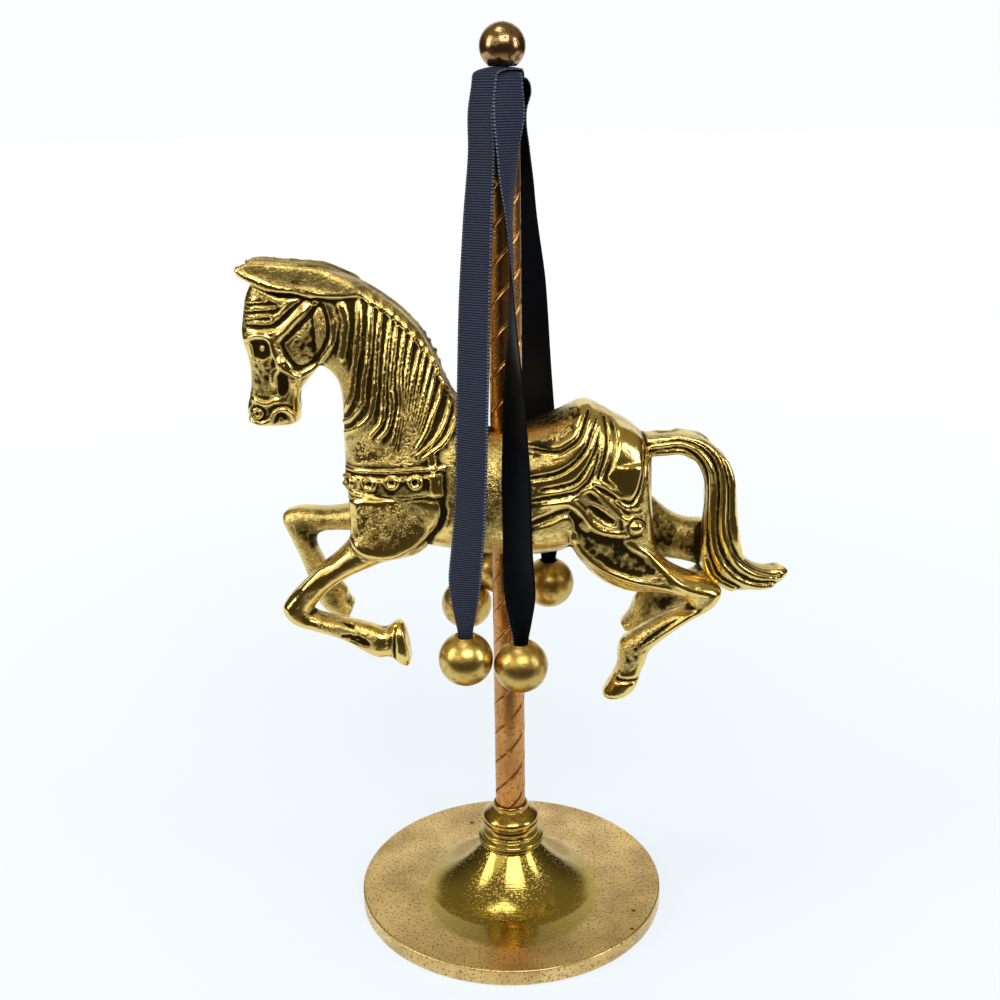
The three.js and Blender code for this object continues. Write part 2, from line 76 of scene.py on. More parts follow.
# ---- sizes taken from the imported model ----
BASE_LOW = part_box("base")[0]
COLLAR_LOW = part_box("collar")[0]
POLE_LOW, POLE_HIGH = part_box("pole")
FINIAL_LOW, FINIAL_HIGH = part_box("finial")
BEAD_CENTRES = {}
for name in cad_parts:
    if name.startswith("bead_"):
        low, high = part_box(name)
        BEAD_CENTRES[name] = Vector(((low.x + high.x) / 2, (low.y + high.y) / 2, low.z))


# ---- what a user may change ----
def length(name, description, default, low, high):
    return FloatProperty(name=name, description=description, default=default, min=low, max=high, unit="LENGTH")


def colour(name, description, default):
    return FloatVectorProperty(
        name=name, description=description, subtype="COLOR", size=4, min=0, max=1, default=srgb(default))


class StandSettings(bpy.types.PropertyGroup):
    base_diameter: length("Foot diameter", "Across the round foot", 0.0976, 0.05, 0.2)
    trumpet_curve: FloatProperty(
        name="Rise", description="Power of the foot's concave rise", default=1.75, min=1.2, max=4)
    pole_diameter: length("Pole diameter", "Across the brass rod", 0.009525, 0.005, 0.02)
    groove_lead: length("Spiral lead", "Height of one turn of a groove", 0.0312, 0.01, 0.1)
    groove_depth: length("Groove depth", "How deep the spiral is engraved", 0.00035, 0, 0.001)
    groove_starts: IntProperty(
        name="Grooves", description="Number of parallel spirals", default=3, min=1, max=6)
    brass: colour("Foot brass", "Colour of the turned foot", "eccb86")
    rod: colour("Rod brass", "Colour of the rod", "d69a58")


class HorseSettings(bpy.types.PropertyGroup):
    voxel: length("Mesh size", "Voxel of the casting's mesh", 0.00045, 0.0002, 0.002)
    carving: FloatProperty(
        name="Carving", description="How deep the carving is, 1 as cast", default=1.0, min=0, max=2, subtype="FACTOR")
    brass: colour("Polished brass", "Colour of the rubbed high places", "e8cc7c")
    # The tarnish colour also serves as painted shade on faces turned inward between the legs.
    tarnish: colour("Tarnish", "Colour left in the recesses", "33280f")


class RibbonSettings(bpy.types.PropertyGroup):
    width: length("Ribbon width", "Across the grosgrain ribbon", 0.01, 0.01, 0.02)
    thickness: length("Ribbon thickness", "Of the woven ribbon", 0.00035, 0.0001, 0.001)
    rib_pitch: length("Rib pitch", "Spacing of the ribbon's crosswise ribs", 0.0007, 0.0003, 0.002)
    navy: colour("Ribbon colour", "Colour of the yarn", "343a50")
    bead_diameter: length("Bead diameter", "Across a bead", 0.0162, 0.008, 0.03)
    bead_brass: colour("Bead brass", "Colour of the beads", "dcbc6a")


class StageSettings(bpy.types.PropertyGroup):
    light: FloatProperty(
        name="Light", description="Strength of the studio light, 1 as set up", default=1.0, min=0, max=4,
        subtype="FACTOR")
    floor: colour("Floor", "Colour of the floor", "dae2ea")


# ---- small helpers ----
def add_node(tree, kind, *inputs, give=None, stops=(), **settings):
    """Adds a node and returns the output it gives, the first open one unless give names another.

    A second word in kind is its operation or blend, inputs fill its open sockets
    in turn, and stops are a ramp's positions with a grey level or a colour each.
    """
    kind, _, way = kind.partition(" ")
    made = tree.nodes.new("ShaderNode" + kind)
    if kind == "Mix":
        settings = {"data_type": "RGBA", "blend_type": way}
    elif way:
        settings["operation"] = way
    for key, value in settings.items():
        setattr(made, key, value)
    plug(tree, zip([socket for socket in made.inputs if socket.enabled], inputs))
    for i, (position, shade) in enumerate(stops):
        element = made.color_ramp.elements[i] if i < 2 else made.color_ramp.elements.new(position)
        element.position = position
        element.color = (*shade[:3], 1) if isinstance(shade, tuple) else (shade, shade, shade, 1)
    return made.outputs[give] if give else next((socket for socket in made.outputs if socket.enabled), None)


def plug(tree, pairs):
    """Links or sets each socket."""
    for socket, value in pairs:
        if isinstance(value, bpy.types.NodeSocket):
            tree.links.new(value, socket)
        else:
            socket.default_value = value


def closed(bm):
    """Merges a bmesh's doubles and turns its faces outwards."""
    bmesh.ops.remove_doubles(bm, verts=bm.verts[:], dist=0.001 * MM)
    bmesh.ops.recalc_face_normals(bm, faces=bm.faces[:])
    return bm


def place_mesh(name, bm, material=None):
    """Makes an object of a bmesh, in place."""
    mesh = bpy.data.meshes.new(name)
    bm.to_mesh(mesh)
    bm.free()
    if material:
        mesh.materials.append(material)
    made = bpy.data.objects.new(name, mesh)
    bpy.context.scene.collection.objects.link(made)
    return made


def keep(name, bm, material, node):
    """Makes a piece of a bmesh, and lets it stand for its node."""
    piece = place_mesh(name, bm, material)
    piece.data.shade_smooth()
    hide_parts(node)
    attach(piece, "root")
    return piece


def skin(bm, rings):
    """Adds a closed skin over rings of points in metres, and returns each face's place in it."""
    rings = np.asarray(rings, float)
    rows, sides = rings.shape[:2]
    made = bmesh.ops.create_grid(bm, x_segments=sides, y_segments=rows - 1, size=1.0)["verts"]
    at = {}
    for v in made:
        i = round((v.co.x + 1) / 2 * sides)
        j = round((v.co.y + 1) / 2 * (rows - 1))
        at[v] = (i, j)
    places = {f: [at[v] for v in f.verts] for f in {f for v in made for f in v.link_faces}}
    for v, (i, j) in at.items():
        v.co = Vector(rings[j, i % sides])
    for j in (0, rows - 1):
        end = [v for v, (i, row) in at.items() if row == j and i < sides]
        bm.faces.new(sorted(end, key=lambda v: at[v][0]))
    return places


def spun(profile, steps):
    """A bmesh turned about Z from [radius, height] points in metres."""
    bm = bmesh.new()
    verts = [bm.verts.new((r, 0, z)) for r, z in profile]
    edges = [bm.edges.new(pair) for pair in zip(verts, verts[1:])]
    bmesh.ops.spin(bm, geom=verts + edges, cent=(0, 0, 0), axis=(0, 0, 1),
                   angle=2 * math.pi, steps=steps, use_merge=True)
    return closed(bm)


def arc(centre, radius, start, end, steps):
    """[radius, height] points of an arc, angles in degrees from the outward direction."""
    angles = np.radians(np.linspace(start, end, steps + 1))
    return [(centre[0] + radius * math.cos(a), centre[1] + radius * math.sin(a)) for a in angles]


def smooth_line(points, per_span):
    """A Catmull-Rom line through the points, per_span steps from each to the next."""
    p = np.asarray(points, float)
    p = np.vstack([2 * p[0] - p[1], p, 2 * p[-1] - p[-2]])
    t = np.arange(per_span)[:, None] / per_span
    rows = [
        0.5 * (2 * b + (c - a) * t + (2 * a - 5 * b + 4 * c - d) * t**2 + (3 * b - a - 3 * c + d) * t**3)
        for a, b, c, d in zip(p, p[1:], p[2:], p[3:])
    ]
    return np.vstack([*rows, p[-2:-1]])


# ---- finishes ----
# A noise's scale is 1000 / the size of its blotches in mm.
def new_material(name):
    """A blank material, and the function that adds its nodes."""
    material = bpy.data.materials.new(name)
    material.use_nodes = True
    material.node_tree.nodes.clear()
    return material, partial(add_node, material.node_tree)


def finish(material, surface, height=None, strength=1.0, distance=0.0):
    """Plugs the surface, and the relief in height, into the material's shader."""
    tree = material.node_tree
    shader = tree.nodes.new("ShaderNodeBsdfPrincipled")
    out = tree.nodes.new("ShaderNodeOutputMaterial")
    tree.links.new(shader.outputs[0], out.inputs[0])
    if height:
        bump = add_node(tree, "Bump").node
        plug(tree, ((bump.inputs["Height"], height), (bump.inputs["Strength"], strength),
                    (bump.inputs["Distance"], distance)))
        surface["Normal"] = bump.outputs[0]
    plug(tree, ((shader.inputs[key], value) for key, value in surface.items()))
    return material


def cast_brass(name, polished, tarnish):
    """Cast brass, rubbed bright on the high places and left brown-black in the recesses.

    The eye sees crisp gold reflections broken by a fine cast grain, and pitted
    olive to dark brown where polish never reaches. The same dark tones also paint
    shade on the horse's faces turned inward between the legs.
    """
    material, add = new_material(name)
    place = add("TexCoord", give="Object")
    blotch = add("TexNoise", place, 1000 / 7, 5.0, 0.6)
    grain = add("TexNoise", place, 1000 / 0.7, 4.0, 0.65)
    depth = add("Attribute", give="Fac", attribute_name="hollow")
    depth = add("Math MULTIPLY_ADD", add("Math SUBTRACT", blotch, 0.5), 0.7, depth)
    depth = add("Math MULTIPLY_ADD", add("Math SUBTRACT", grain, 0.5), 0.5, depth)
    olive = tuple(0.55 * a + 0.45 * b for a, b in zip(polished, tarnish))
    metal = add("ValToRGB", depth, stops=[(0.0, polished), (0.54, polished), (0.7, olive), (0.92, tarnish)])
    rough = add("ValToRGB", depth, stops=[(0.0, 0.15), (0.5, 0.23), (0.7, 0.4), (0.95, 0.55)])
    pits = add("ValToRGB", add("TexNoise", place, 1000 / 1.1, 2.0, 0.5), stops=[(0.0, 0), (0.4, 0.2), (0.55, 1)])
    rougher = add("ValToRGB", depth, stops=[(0.3, 0.12), (0.62, 1)])
    height = add("Math MULTIPLY", add("Math MULTIPLY_ADD", pits, 0.5, grain), rougher)
    height = add("Math MULTIPLY_ADD", blotch, 0.5, height)
    return finish(material, {"Base Color": metal, "Roughness": rough, "Metallic": 1.0}, height, 0.6, 0.28 * MM)


def turned_brass(name, bright, dark, speckle_mm, speckle, roughness, polish_and_painted_reflection=0.0, pits=()):
    """Turned brass: fine rings from the lathe under a thin tan tarnish with dark specks and pits."""
    material, add = new_material(name)
    place = add("TexCoord", give="Object")
    radius = add("VectorMath LENGTH", add("VectorMath MULTIPLY", place, (1, 1, 0)))
    rings = add("TexNoise", add("Math MULTIPLY", radius, 1000.0), 2.2, 4.0, noise_dimensions="1D")
    hollow = add("Attribute", give="Fac", attribute_name="hollow")
    cloud = add("TexNoise", place, 1000 / 14, 4.0, 0.55)
    spots = add("ValToRGB", add("TexNoise", place, 1000 / speckle_mm, 2.0, 0.5),
                stops=[(0.0, 0), (0.56, 0), (0.64, speckle), (1.0, speckle)])
    for x, y, size in pits:
        gap = add("VectorMath DISTANCE", place, (x * MM, y * MM, RIM))
        spots = add("Math MAXIMUM", spots, add(
            "ValToRGB", add("Math DIVIDE", gap, size * MM), stops=[(0.6, 1), (1.0, 0)]))
    base = add("Mix MIX", add("ValToRGB", cloud, stops=[(0.35, 0), (0.7, 0.5)]), bright, dark)
    base = add("Mix MIX", spots, base, dark)
    base = add("Mix MIX", add("ValToRGB", hollow, stops=[(0.4, 0), (0.9, 0.9)]), base, srgb("3a2410"))
    rough = add("Math MULTIPLY_ADD", cloud, 0.14, roughness - 0.07)
    rough = add("Math MULTIPLY_ADD", spots, 0.2, rough)
    if polish_and_painted_reflection:
        # Inside this radius in metres, a little toward the front, it is polished to a mirror with lower roughness,
        # and its colour turns olive there as a painted reflection of the dim room.
        polish_and_reflection_reach = add("VectorMath ADD", place, (0, 0.2 * polish_and_painted_reflection, 0))
        polish_and_reflection_reach = add("VectorMath LENGTH", add("VectorMath MULTIPLY", polish_and_reflection_reach, (1, 0.86, 0)))
        ragged = add("Math SUBTRACT", add("TexNoise", place, 1000 / 3, 3.0, 0.55), 0.5)
        polish_and_reflection_reach = add("Math MULTIPLY", add("Math MULTIPLY_ADD", ragged, 2 * MM, polish_and_reflection_reach), 0.5 / polish_and_painted_reflection)
        within = add("ValToRGB", polish_and_reflection_reach, stops=[(0.47, 1), (0.5, 0)])
        rough = add("Math SUBTRACT", rough, add("Math MULTIPLY", within, roughness - 0.12))
        # Painted reflection: the olive colour inside the polished zone.
        base = add("Mix MIX", within, base, srgb("b39c50"))
    height = add("Math MULTIPLY_ADD", spots, -1.2, add("Math MULTIPLY", rings, 0.8))
    return finish(material, {"Base Color": base, "Roughness": rough, "Metallic": 1.0}, height, 0.3, 0.08 * MM)


def dimmed(shade, share):
    return tuple(share * part for part in shade[:3])


def grosgrain(name, yarn, pitch):
    """Navy grosgrain: stiff crosswise ribs with a soft sheen, and pale yarn loops along both edges.

    The UV map holds the place across and along the ribbon in metres.
    """
    material, add = new_material(name)
    across, along = add("SeparateXYZ", add("TexCoord", give="UV")).node.outputs[:2]
    rib = add("Math ABSOLUTE", add("Math SINE", add("Math MULTIPLY", along, math.pi / pitch)))
    edge = add("Math GREATER_THAN", add("Math ABSOLUTE", across), 4.4 * MM)
    loops = add("Math ABSOLUTE", add("Math SINE", add("Math MULTIPLY", along, math.pi / (1.4 * pitch))))
    pale = add("Math MULTIPLY", edge, add("Math POWER", loops, 6.0))
    fibre = add("TexNoise", add("TexCoord", give="Object"), 1000 / 0.25, 3.0, 0.55)
    # Painted shade: the yarn darkens to near black in the grooves between the ribs.
    shade = add("ValToRGB", rib, stops=[(0.0, dimmed(yarn, 0.04)), (0.35, dimmed(yarn, 0.1)), (0.9, yarn)])
    shade = add("Mix MULTIPLY", 1.0, shade, add("ValToRGB", fibre, stops=[(0.3, 0.7), (0.7, 1.2)]))
    shade = add("Mix MIX", pale, shade, srgb("767c8e"))
    return finish(material, {
        "Base Color": shade, "Roughness": 0.6, "Specular IOR Level": 0.12, "Sheen Weight": 0.04,
        "Sheen Roughness": 0.4, "Sheen Tint": srgb("8c98b8"),
    }, add("Math MULTIPLY_ADD", pale, 1.5, rib), 0.8, 0.15 * MM)


def satin(name, yarn):
    """The ribbon's smooth side: long floats of yarn, nearly black, with a soft broad shine."""
    material, add = new_material(name)
    along = add("Mapping", add("TexCoord", give="UV"), (0, 0, 0), (0, 0, 0), (6.0, 0.3, 1.0))
    thread = add("TexNoise", along, 1000.0, 3.0, 0.55)
    return finish(material, {
        "Base Color": add("ValToRGB", thread, stops=[(0.25, dimmed(yarn, 0.02)), (0.8, dimmed(yarn, 0.08))]),
        "Roughness": 0.4, "Specular IOR Level": 0.1, "Sheen Weight": 0.02, "Sheen Roughness": 0.3,
        "Sheen Tint": srgb("7f8db0"),
    }, thread, 0.3, 0.1 * MM)


# ---- the stand ----
def base_profile(settings):
    """Underside, rounded rim, flat disc, concave rise, neck and flange."""
    radius = settings.base_diameter / 2
    profile = [(0, 0), (radius - 1.2 * MM, 0), *arc((radius - 0.8 * MM, 0.8 * MM), 0.8 * MM, -80, 0, 6)]
    profile += arc((radius - 0.6 * MM, RIM - 0.6 * MM), 0.6 * MM, 0, 90, 8)
    foot, neck, top = 28.6 * MM, 9.4 * MM, 19.2 * MM
    for i in range(1, 49):
        t = i / 48
        profile.append((foot + (neck - foot) * t, RIM + (top - RIM) * t**settings.trumpet_curve))
    flange = [(9.3, 20.2), (10.3, 20.4), (10.6, 20.8), (10.62, 21.7), (10.4, 22.1), (9.4, 22.5), (8.95, 22.7),
              (8.9, 22.9), (8.92, 23.5), (8.7, 23.85), (5, 23.9), (0, 23.9)]
    profile += [(r * MM, z * MM) for r, z in flange]
    return profile


class ORNAMENT_OT_base(bpy.types.Operator):
    """Turns the round foot with its trumpet rise"""

    bl_idname = "ornament.base"
    bl_label = "Foot"

    def execute(self, context):
        settings = context.scene.ornament_stand
        pits = ((38.5, -19.8, 0.9), (37.1, -29.2, 0.8), (-13.6, 33.2, 1.1))
        # Within 28.6 mm the foot is polished to a mirror and carries a painted olive reflection.
        metal = turned_brass("brass, turned and pitted", tuple(settings.brass), srgb("7c5a2c"), 0.75, 0.75, 0.3,
                             28.6 * MM, pits)
        keep("base_turned", spun(base_profile(settings), 160), metal, "base")
        return {"FINISHED"}


class ORNAMENT_OT_collar(bpy.types.Operator):
    """Turns the collar's bulb and the bush above it"""

    bl_idname = "ornament.collar"
    bl_label = "Collar"

    def execute(self, context):
        bore = POLE_HIGH.x + 0.3 * MM
        foot = COLLAR_LOW.z
        steps = [(8.3, foot / MM), (8.45, 24.6), (8.4, 25.5), (8.05, 26.1), (8.0, 26.35), (8.55, 26.7), (9.0, 27.2),
                 (9.15, 27.9), (9.12, 28.7), (8.9, 29.35), (8.56, 29.68), (8.44, 29.8), (7.85, 30.35), (7.1, 30.95),
                 (6.3, 31.45), (5.7, 31.85), (5.58, 32.0), (5.65, 32.3), (5.6, 33.3), (5.4, 33.6)]
        profile = [(bore, foot), *((r * MM, z * MM) for r, z in steps), (bore, 33.65 * MM), (bore, foot)]
        metal = turned_brass("brass, turned and lacquered", srgb("d2b060"), srgb("6b4a1e"), 1.4, 0.4, 0.15)
        keep("collar_turned", spun(profile, 96), metal, "collar")
        return {"FINISHED"}


class ORNAMENT_OT_pole(bpy.types.Operator):
    """Draws the rod and cuts its spiral grooves"""

    bl_idname = "ornament.pole"
    bl_label = "Pole"

    def execute(self, context):
        settings = context.scene.ornament_stand
        radius = settings.pole_diameter / 2
        sides = 32 * settings.groove_starts
        half = 0.42 * MM / radius
        sector = 2 * math.pi / settings.groove_starts
        angle = 2 * math.pi * np.arange(sides) / sides
        off = (angle + sector / 2) % sector - sector / 2
        cut = settings.groove_depth * np.clip(1 - (off / half) ** 2, 0, None)
        lip = 0.06 * MM * np.exp(-(((np.abs(off) - 1.3 * half) / (0.4 * half)) ** 2))
        rim = radius - cut + lip
        rings = []
        for z in np.linspace(POLE_LOW.z, POLE_HIGH.z, 500):
            a = angle + 2 * math.pi * z / settings.groove_lead
            rings.append(np.stack([rim * np.cos(a), rim * np.sin(a), np.full(sides, z)], 1))
        bm = bmesh.new()
        skin(bm, rings)
        closed(bm)
        depth = [min(1.0, max(0.0, (radius - v.co.xy.length) / settings.groove_depth)) for v in bm.verts]
        metal = turned_brass("brass rod, drawn and engraved", tuple(settings.rod), srgb("7a4a1c"), 0.9, 0.5, 0.27)
        piece = keep("pole_engraved", bm, metal, "pole")
        put_attribute(piece.data, "hollow", np.array(depth))
        return {"FINISHED"}


def put_attribute(mesh, name, values):
    attribute = mesh.attributes.get(name) or mesh.attributes.new(name, "FLOAT", "POINT")
    attribute.data.foreach_set("value", np.asarray(values, np.float32))


class ORNAMENT_OT_finial(bpy.types.Operator):
    """Turns the ball that caps the pole"""

    bl_idname = "ornament.finial"
    bl_label = "Ball finial"

    def execute(self, context):
        radius = 6.4 * MM
        centre = FINIAL_HIGH.z - radius
        seat = FINIAL_LOW.z
        lowest = math.degrees(math.asin((seat - centre) / radius))
        profile = [(0, seat), *arc((0, centre), radius, lowest, 90, 40)[:-1], (0, centre + radius)]
        metal = turned_brass("brass ball, tarnished", srgb("b8956a"), srgb("442818"), 1.6, 0.7, 0.2)
        keep("finial_ball", spun(profile, 72), metal, "finial")
        return {"FINISHED"}


# ---- the horse's masses ----
# Stations across the side view, in mm: x, z of one edge, x, z of the other
# edge, half thickness, centre y. They are the stations of the solid.
TRUNK = [
    (-47.2, 147, -47, 139, 7, 0), (-43, 156, -43, 130.5, 11.5, 0), (-34, 163, -34, 126.5, 14.5, 0),
    (-24, 166, -24, 123.6, 15.6, 0), (-14, 164, -14, 121.8, 16, 0), (-5, 158.2, -5, 120.6, 16, 0),
    (6, 159.8, 6, 120.2, 16.4, 0), (15, 163.4, 14, 121, 16.8, 0), (22.5, 166.8, 20, 123, 16.8, 0),
    (27.5, 165, 26, 125, 16.2, 0), (34, 161, 32, 127, 15, 0), (39.4, 157.4, 38, 129, 12.6, 0),
    (42.4, 153, 42.6, 134, 8.5, 0),
]
NECK = [
    (-53.8, 178.4, -54, 205.8, 7.4, 0), (-50, 175.6, -46.5, 204.6, 8, 0), (-48.2, 171, -38.5, 200.6, 8.6, 0),
    (-47.9, 165, -31.5, 195.4, 9.4, 0), (-47.9, 158, -25.2, 188.8, 10.6, 0), (-48, 151, -20.6, 180.6, 12, 0),
    (-48, 143.6, -16.2, 171.2, 13.4, 0), (-45.6, 134, -8, 161.5, 14.6, 0), (-38, 128, 0, 152, 12, 0),
]
HEAD = [
    (-70, 205.4, -52, 206, 6.4, 0), (-73.6, 200.4, -51, 199, 7.4, 0), (-75.4, 193, -50.2, 191, 8, 0),
    (-76, 186.6, -51, 184.4, 8, 0), (-74.5, 180.6, -54.4, 177.6, 7.4, 0), (-74.2, 175, -57.6, 174, 6.4, 0),
    (-74.8, 170.4, -60.4, 169.6, 5.8, 0), (-76, 165.6, -60.4, 165, 5.8, 0), (-74.8, 162, -60.6, 162.2, 5, 0),
    (-72.4, 160.6, -62.4, 160.8, 3.4, 0),
]
EAR = [
    (-42, 202.6, -42, 199, 2, 5.2), (-51, 206.2, -51, 199.6, 2.8, 5.6), (-58, 207.2, -57, 199.8, 3, 5.8),
    (-66, 207.9, -65, 201.2, 3, 6.2), (-72, 208.2, -71.2, 203.2, 2.6, 6.6), (-75.4, 206.8, -75, 204.8, 1.3, 6.8),
]
NEAR_FORELEG = [
    (-46.4, 143, -18, 139, 8, -7), (-46.2, 129.8, -24, 124.8, 8.4, -8), (-50.2, 124.2, -35.5, 121.4, 7, -9),
    (-55.2, 120, -44, 118, 6.2, -9.4), (-60.2, 115.4, -51, 114.2, 5.8, -9.6),
    (-65, 110.8, -56.4, 108.8, 5.4, -9.6), (-67.8, 106, -58.4, 105.8, 5.2, -9.6),
    (-64.6, 101.4, -57.6, 104.4, 5, -9.6), (-58.8, 99.2, -53, 103, 4.6, -9.6), (-50, 95.8, -47, 101.8, 4.2, -9.4),
    (-43.6, 91.6, -41.6, 100.4, 4.2, -9.2), (-40, 89.8, -38.2, 99, 4.4, -9.2),
    (-36.2, 89.8, -36.4, 99.2, 4.4, -9), (-34.2, 88.2, -33.8, 101.2, 5, -9), (-30.8, 86.6, -31.8, 100.4, 5, -9),
    (-29.6, 89, -30.8, 96.8, 4, -9),
]
FAR_FORELEG = [
    (-22, 142, -22, 126, 7, 7), (-38, 138, -38, 124.4, 7, 7.4), (-47, 133.4, -47.4, 125, 6, 8),
    (-55.6, 132, -55.2, 125, 5.4, 8.4), (-64.4, 132.4, -58.6, 123.4, 5.2, 8.6), (-69.4, 129.4, -59.2, 120.6, 5, 8.6),
    (-67, 122.6, -58.4, 118, 4.8, 8.6), (-64.4, 115.6, -56.8, 114.6, 4.4, 8.6), (-62.4, 109.4, -55, 110.4, 4.2, 8.4),
    (-60.6, 103.6, -52.2, 107.6, 4.4, 8.4), (-58, 99, -50.2, 105.2, 4.4, 8.2), (-54.4, 96.4, -49.6, 102.2, 4.8, 8.2),
    (-51, 94.4, -48, 101, 4.4, 8.2),
]
NEAR_HIND = [
    (14, 150, 41.4, 150, 8, -7.6), (15, 134, 43, 133, 8.6, -8.2), (19, 124, 44, 124.6, 8.4, -8.4),
    (26, 115.4, 47, 119.8, 7.8, -8.8), (34.4, 111.2, 51.6, 116.8, 7, -9), (44, 110.6, 57, 114.6, 6.2, -9.2),
    (50.4, 109, 62, 111.8, 5.6, -9.4), (54.4, 105.4, 64, 109.6, 5.2, -9.4), (53.2, 104.2, 61.2, 105, 4.8, -9.4),
    (49.6, 103.4, 55.8, 101.4, 4.4, -9.4), (43.6, 100.6, 50, 97.3, 4.2, -9.4), (38.2, 97.2, 44.8, 92.9, 4.2, -9.2),
    (34, 94.4, 42.6, 90.2, 4.4, -9.2), (33, 89.8, 41.6, 86.8, 4.4, -9), (33, 86, 40.4, 84, 4.6, -9),
    (31, 81.4, 39.6, 80.8, 5, -9), (28.4, 76.8, 38.2, 78, 5, -9), (29.4, 75.4, 36.2, 76.2, 4.2, -9),
]
FAR_HIND = [
    (18, 146, 40, 150, 8, 7.6), (20, 128, 43, 137, 8.4, 8), (31, 117.4, 46.4, 132.6, 7.6, 8.4),
    (42, 115, 51, 128.8, 6.6, 8.8), (50, 114.2, 56, 126.8, 6, 9), (57.4, 112.4, 62.4, 126, 5.4, 9.2),
    (59.6, 111, 68, 120, 5, 9.2), (57.6, 109.6, 65, 107, 4.6, 9.2), (52, 108, 59.4, 99.8, 4.4, 9),
    (44, 105, 52.4, 95.4, 4.6, 9), (40.2, 101.8, 46.2, 92.6, 4.6, 8.8), (38.2, 95.8, 42, 89.6, 4.8, 8.8),
    (35.4, 92.4, 37.2, 90, 4, 8.8),
]
TAIL = [
    (37, 157, 40, 149, 5, 0), (46, 156, 47.4, 150.6, 5.6, 0), (53.6, 156.6, 52.8, 150.4, 6, 0),
    (59.6, 154, 55.8, 148.4, 6.2, 0), (64.3, 149.6, 58, 144.6, 6.4, 0), (66.9, 144.6, 59.4, 140.6, 6.4, 0),
    (68, 138.6, 59.6, 136, 6.4, 0), (68.9, 131, 59.2, 130.4, 6.6, 0), (69.6, 124.6, 58.8, 123, 6.8, 0),
    (70.8, 119.6, 58.8, 117.6, 6.8, 0), (73.2, 116, 59.8, 112.4, 6.6, 0), (77, 114.2, 66.4, 107.6, 6, 0),
    (81, 113.8, 74.6, 107, 5.2, 0), (84, 113.8, 81.2, 108.2, 4, 0), (85.9, 112.6, 84.4, 110.6, 2, 0),
]

MOST_FACES = 195000  # triangles of the casting

# ---- the horse's carving ----
# Lines of [x, z] in the side view, in mm. The far side has the same ones.
MANE_LOCKS = [
    [(-46.5, 198.5), (-45, 193.5), (-45.3, 188.6), (-46.5, 181.6)],
    [(-41.5, 201.5), (-41.3, 193.7), (-42.2, 184), (-43.5, 174.5), (-44.7, 169.6), (-46.5, 166)],
    [(-38, 200), (-38, 191), (-39, 181.5), (-40.5, 175.2), (-41, 169.5), (-44.6, 164), (-47, 162.5)],
    [(-35, 198), (-36, 188.5), (-36.8, 179), (-37.4, 171.8), (-39.2, 165.3), (-43.4, 161.4), (-47.5, 159)],
    [(-32, 196), (-33, 188.5), (-34.2, 179), (-34.8, 171.8), (-35.6, 164), (-39, 159.6)],
    [(-30.8, 193.3), (-31.8, 183.8), (-32.8, 174.2), (-32.5, 169), (-34, 162.2), (-37, 158.6)],
    [(-28.4, 192.3), (-29.4, 183.6), (-30.3, 176.5), (-30, 169), (-31.4, 162), (-32.6, 157)],
    [(-26, 190), (-27.4, 183.6), (-28.3, 176.5), (-28.8, 169.2), (-29.8, 162), (-31, 155.6)],
    [(-24.2, 188.3), (-24.5, 183.6), (-26.4, 176.3), (-27.5, 169), (-28.4, 162), (-30.4, 154)],
    [(-22.7, 186.4), (-25, 174), (-26.4, 166.5), (-28.4, 158), (-30.4, 152.3)],
    [(-21.3, 183.5), (-22, 177.7), (-23.7, 171.3), (-26.6, 160), (-29.8, 152)],
    [(-20, 179), (-22.5, 168.8), (-24.7, 162), (-28.6, 153)],
    [(-18.3, 175), (-19.3, 170.7), (-21, 166.3), (-23.6, 160), (-28, 153)],
    [(-16, 170.7), (-17.2, 164.8), (-19.8, 159.5), (-23.3, 156), (-27.7, 153.4)],
    [(-14.4, 165.8), (-17.5, 158.6), (-24, 153.6)],
]
CREST_BAND = [
    (-76, 207.4), (-73.9, 205.4), (-69.9, 203.2), (-65.2, 201.2), (-60.9, 200.4), (-53, 199), (-46.6, 198.4),
    (-41.6, 198.6), (-38.4, 196.4), (-34, 193.6), (-29.6, 189.6), (-25.4, 184.8), (-21.4, 178.8), (-17, 171.4),
    (-12, 170), (-16, 184), (-28, 200), (-44, 212), (-70, 214),
]
CLOTH_GROOVES = [
    [(25.4, 168.4), (22.8, 164), (20.5, 159), (17.5, 156.5), (14, 155), (6, 155.6)],
    [(26.2, 164), (24.4, 160.5), (23, 157), (20.6, 153.5), (17, 150.4), (12.3, 148.4), (3, 147)],
    [(26.8, 161), (25.5, 156), (23.8, 152), (20.8, 147.6), (17.4, 145.4), (9.6, 144)],
    [(27.2, 158), (25.6, 151.8), (23.8, 147), (21, 144.2), (18, 142.8), (6, 140.6)],
    [(27.8, 166.3), (28.9, 161.5), (28.5, 155.8), (27.2, 150.8), (25.5, 146.5)],
    [(29.8, 164.3), (31, 160.5), (31, 155.8), (29.8, 151.8), (27.8, 147)],
]
TAIL_STRANDS = [
    [(40, 150.4), (46, 151.6), (52.2, 151.8), (56, 148.2), (58.4, 141.4), (58.6, 134.1), (58.6, 126.7),
     (59.4, 119.2), (62, 112.4), (68, 108.6)],
    [(39.4, 153), (44.9, 154), (51, 154.6), (56.4, 152), (60, 147), (61, 141.4), (61.1, 134.1), (61.1, 126.7),
     (62.9, 119.2), (67.8, 112.8), (74.9, 109.6), (80, 109.6)],
    [(38.6, 155), (45, 155.4), (53, 156), (58.2, 154), (61.9, 149.4), (63.6, 143.4), (64.2, 137.7), (64.1, 131.1),
     (64.8, 125.2), (68.1, 118), (74.1, 113), (81, 111.4)],
    [(52, 157), (59.3, 155.4), (64, 149.7), (66.3, 143.5), (67, 136.3), (67.6, 128.2), (69.3, 121.8),
     (74.5, 116.2), (82, 113.6)],
]
BREAST_STUDS = [(-45.9, 145.5), (-39.6, 145.7), (-33.1, 146.6), (-26.4, 146.8)]


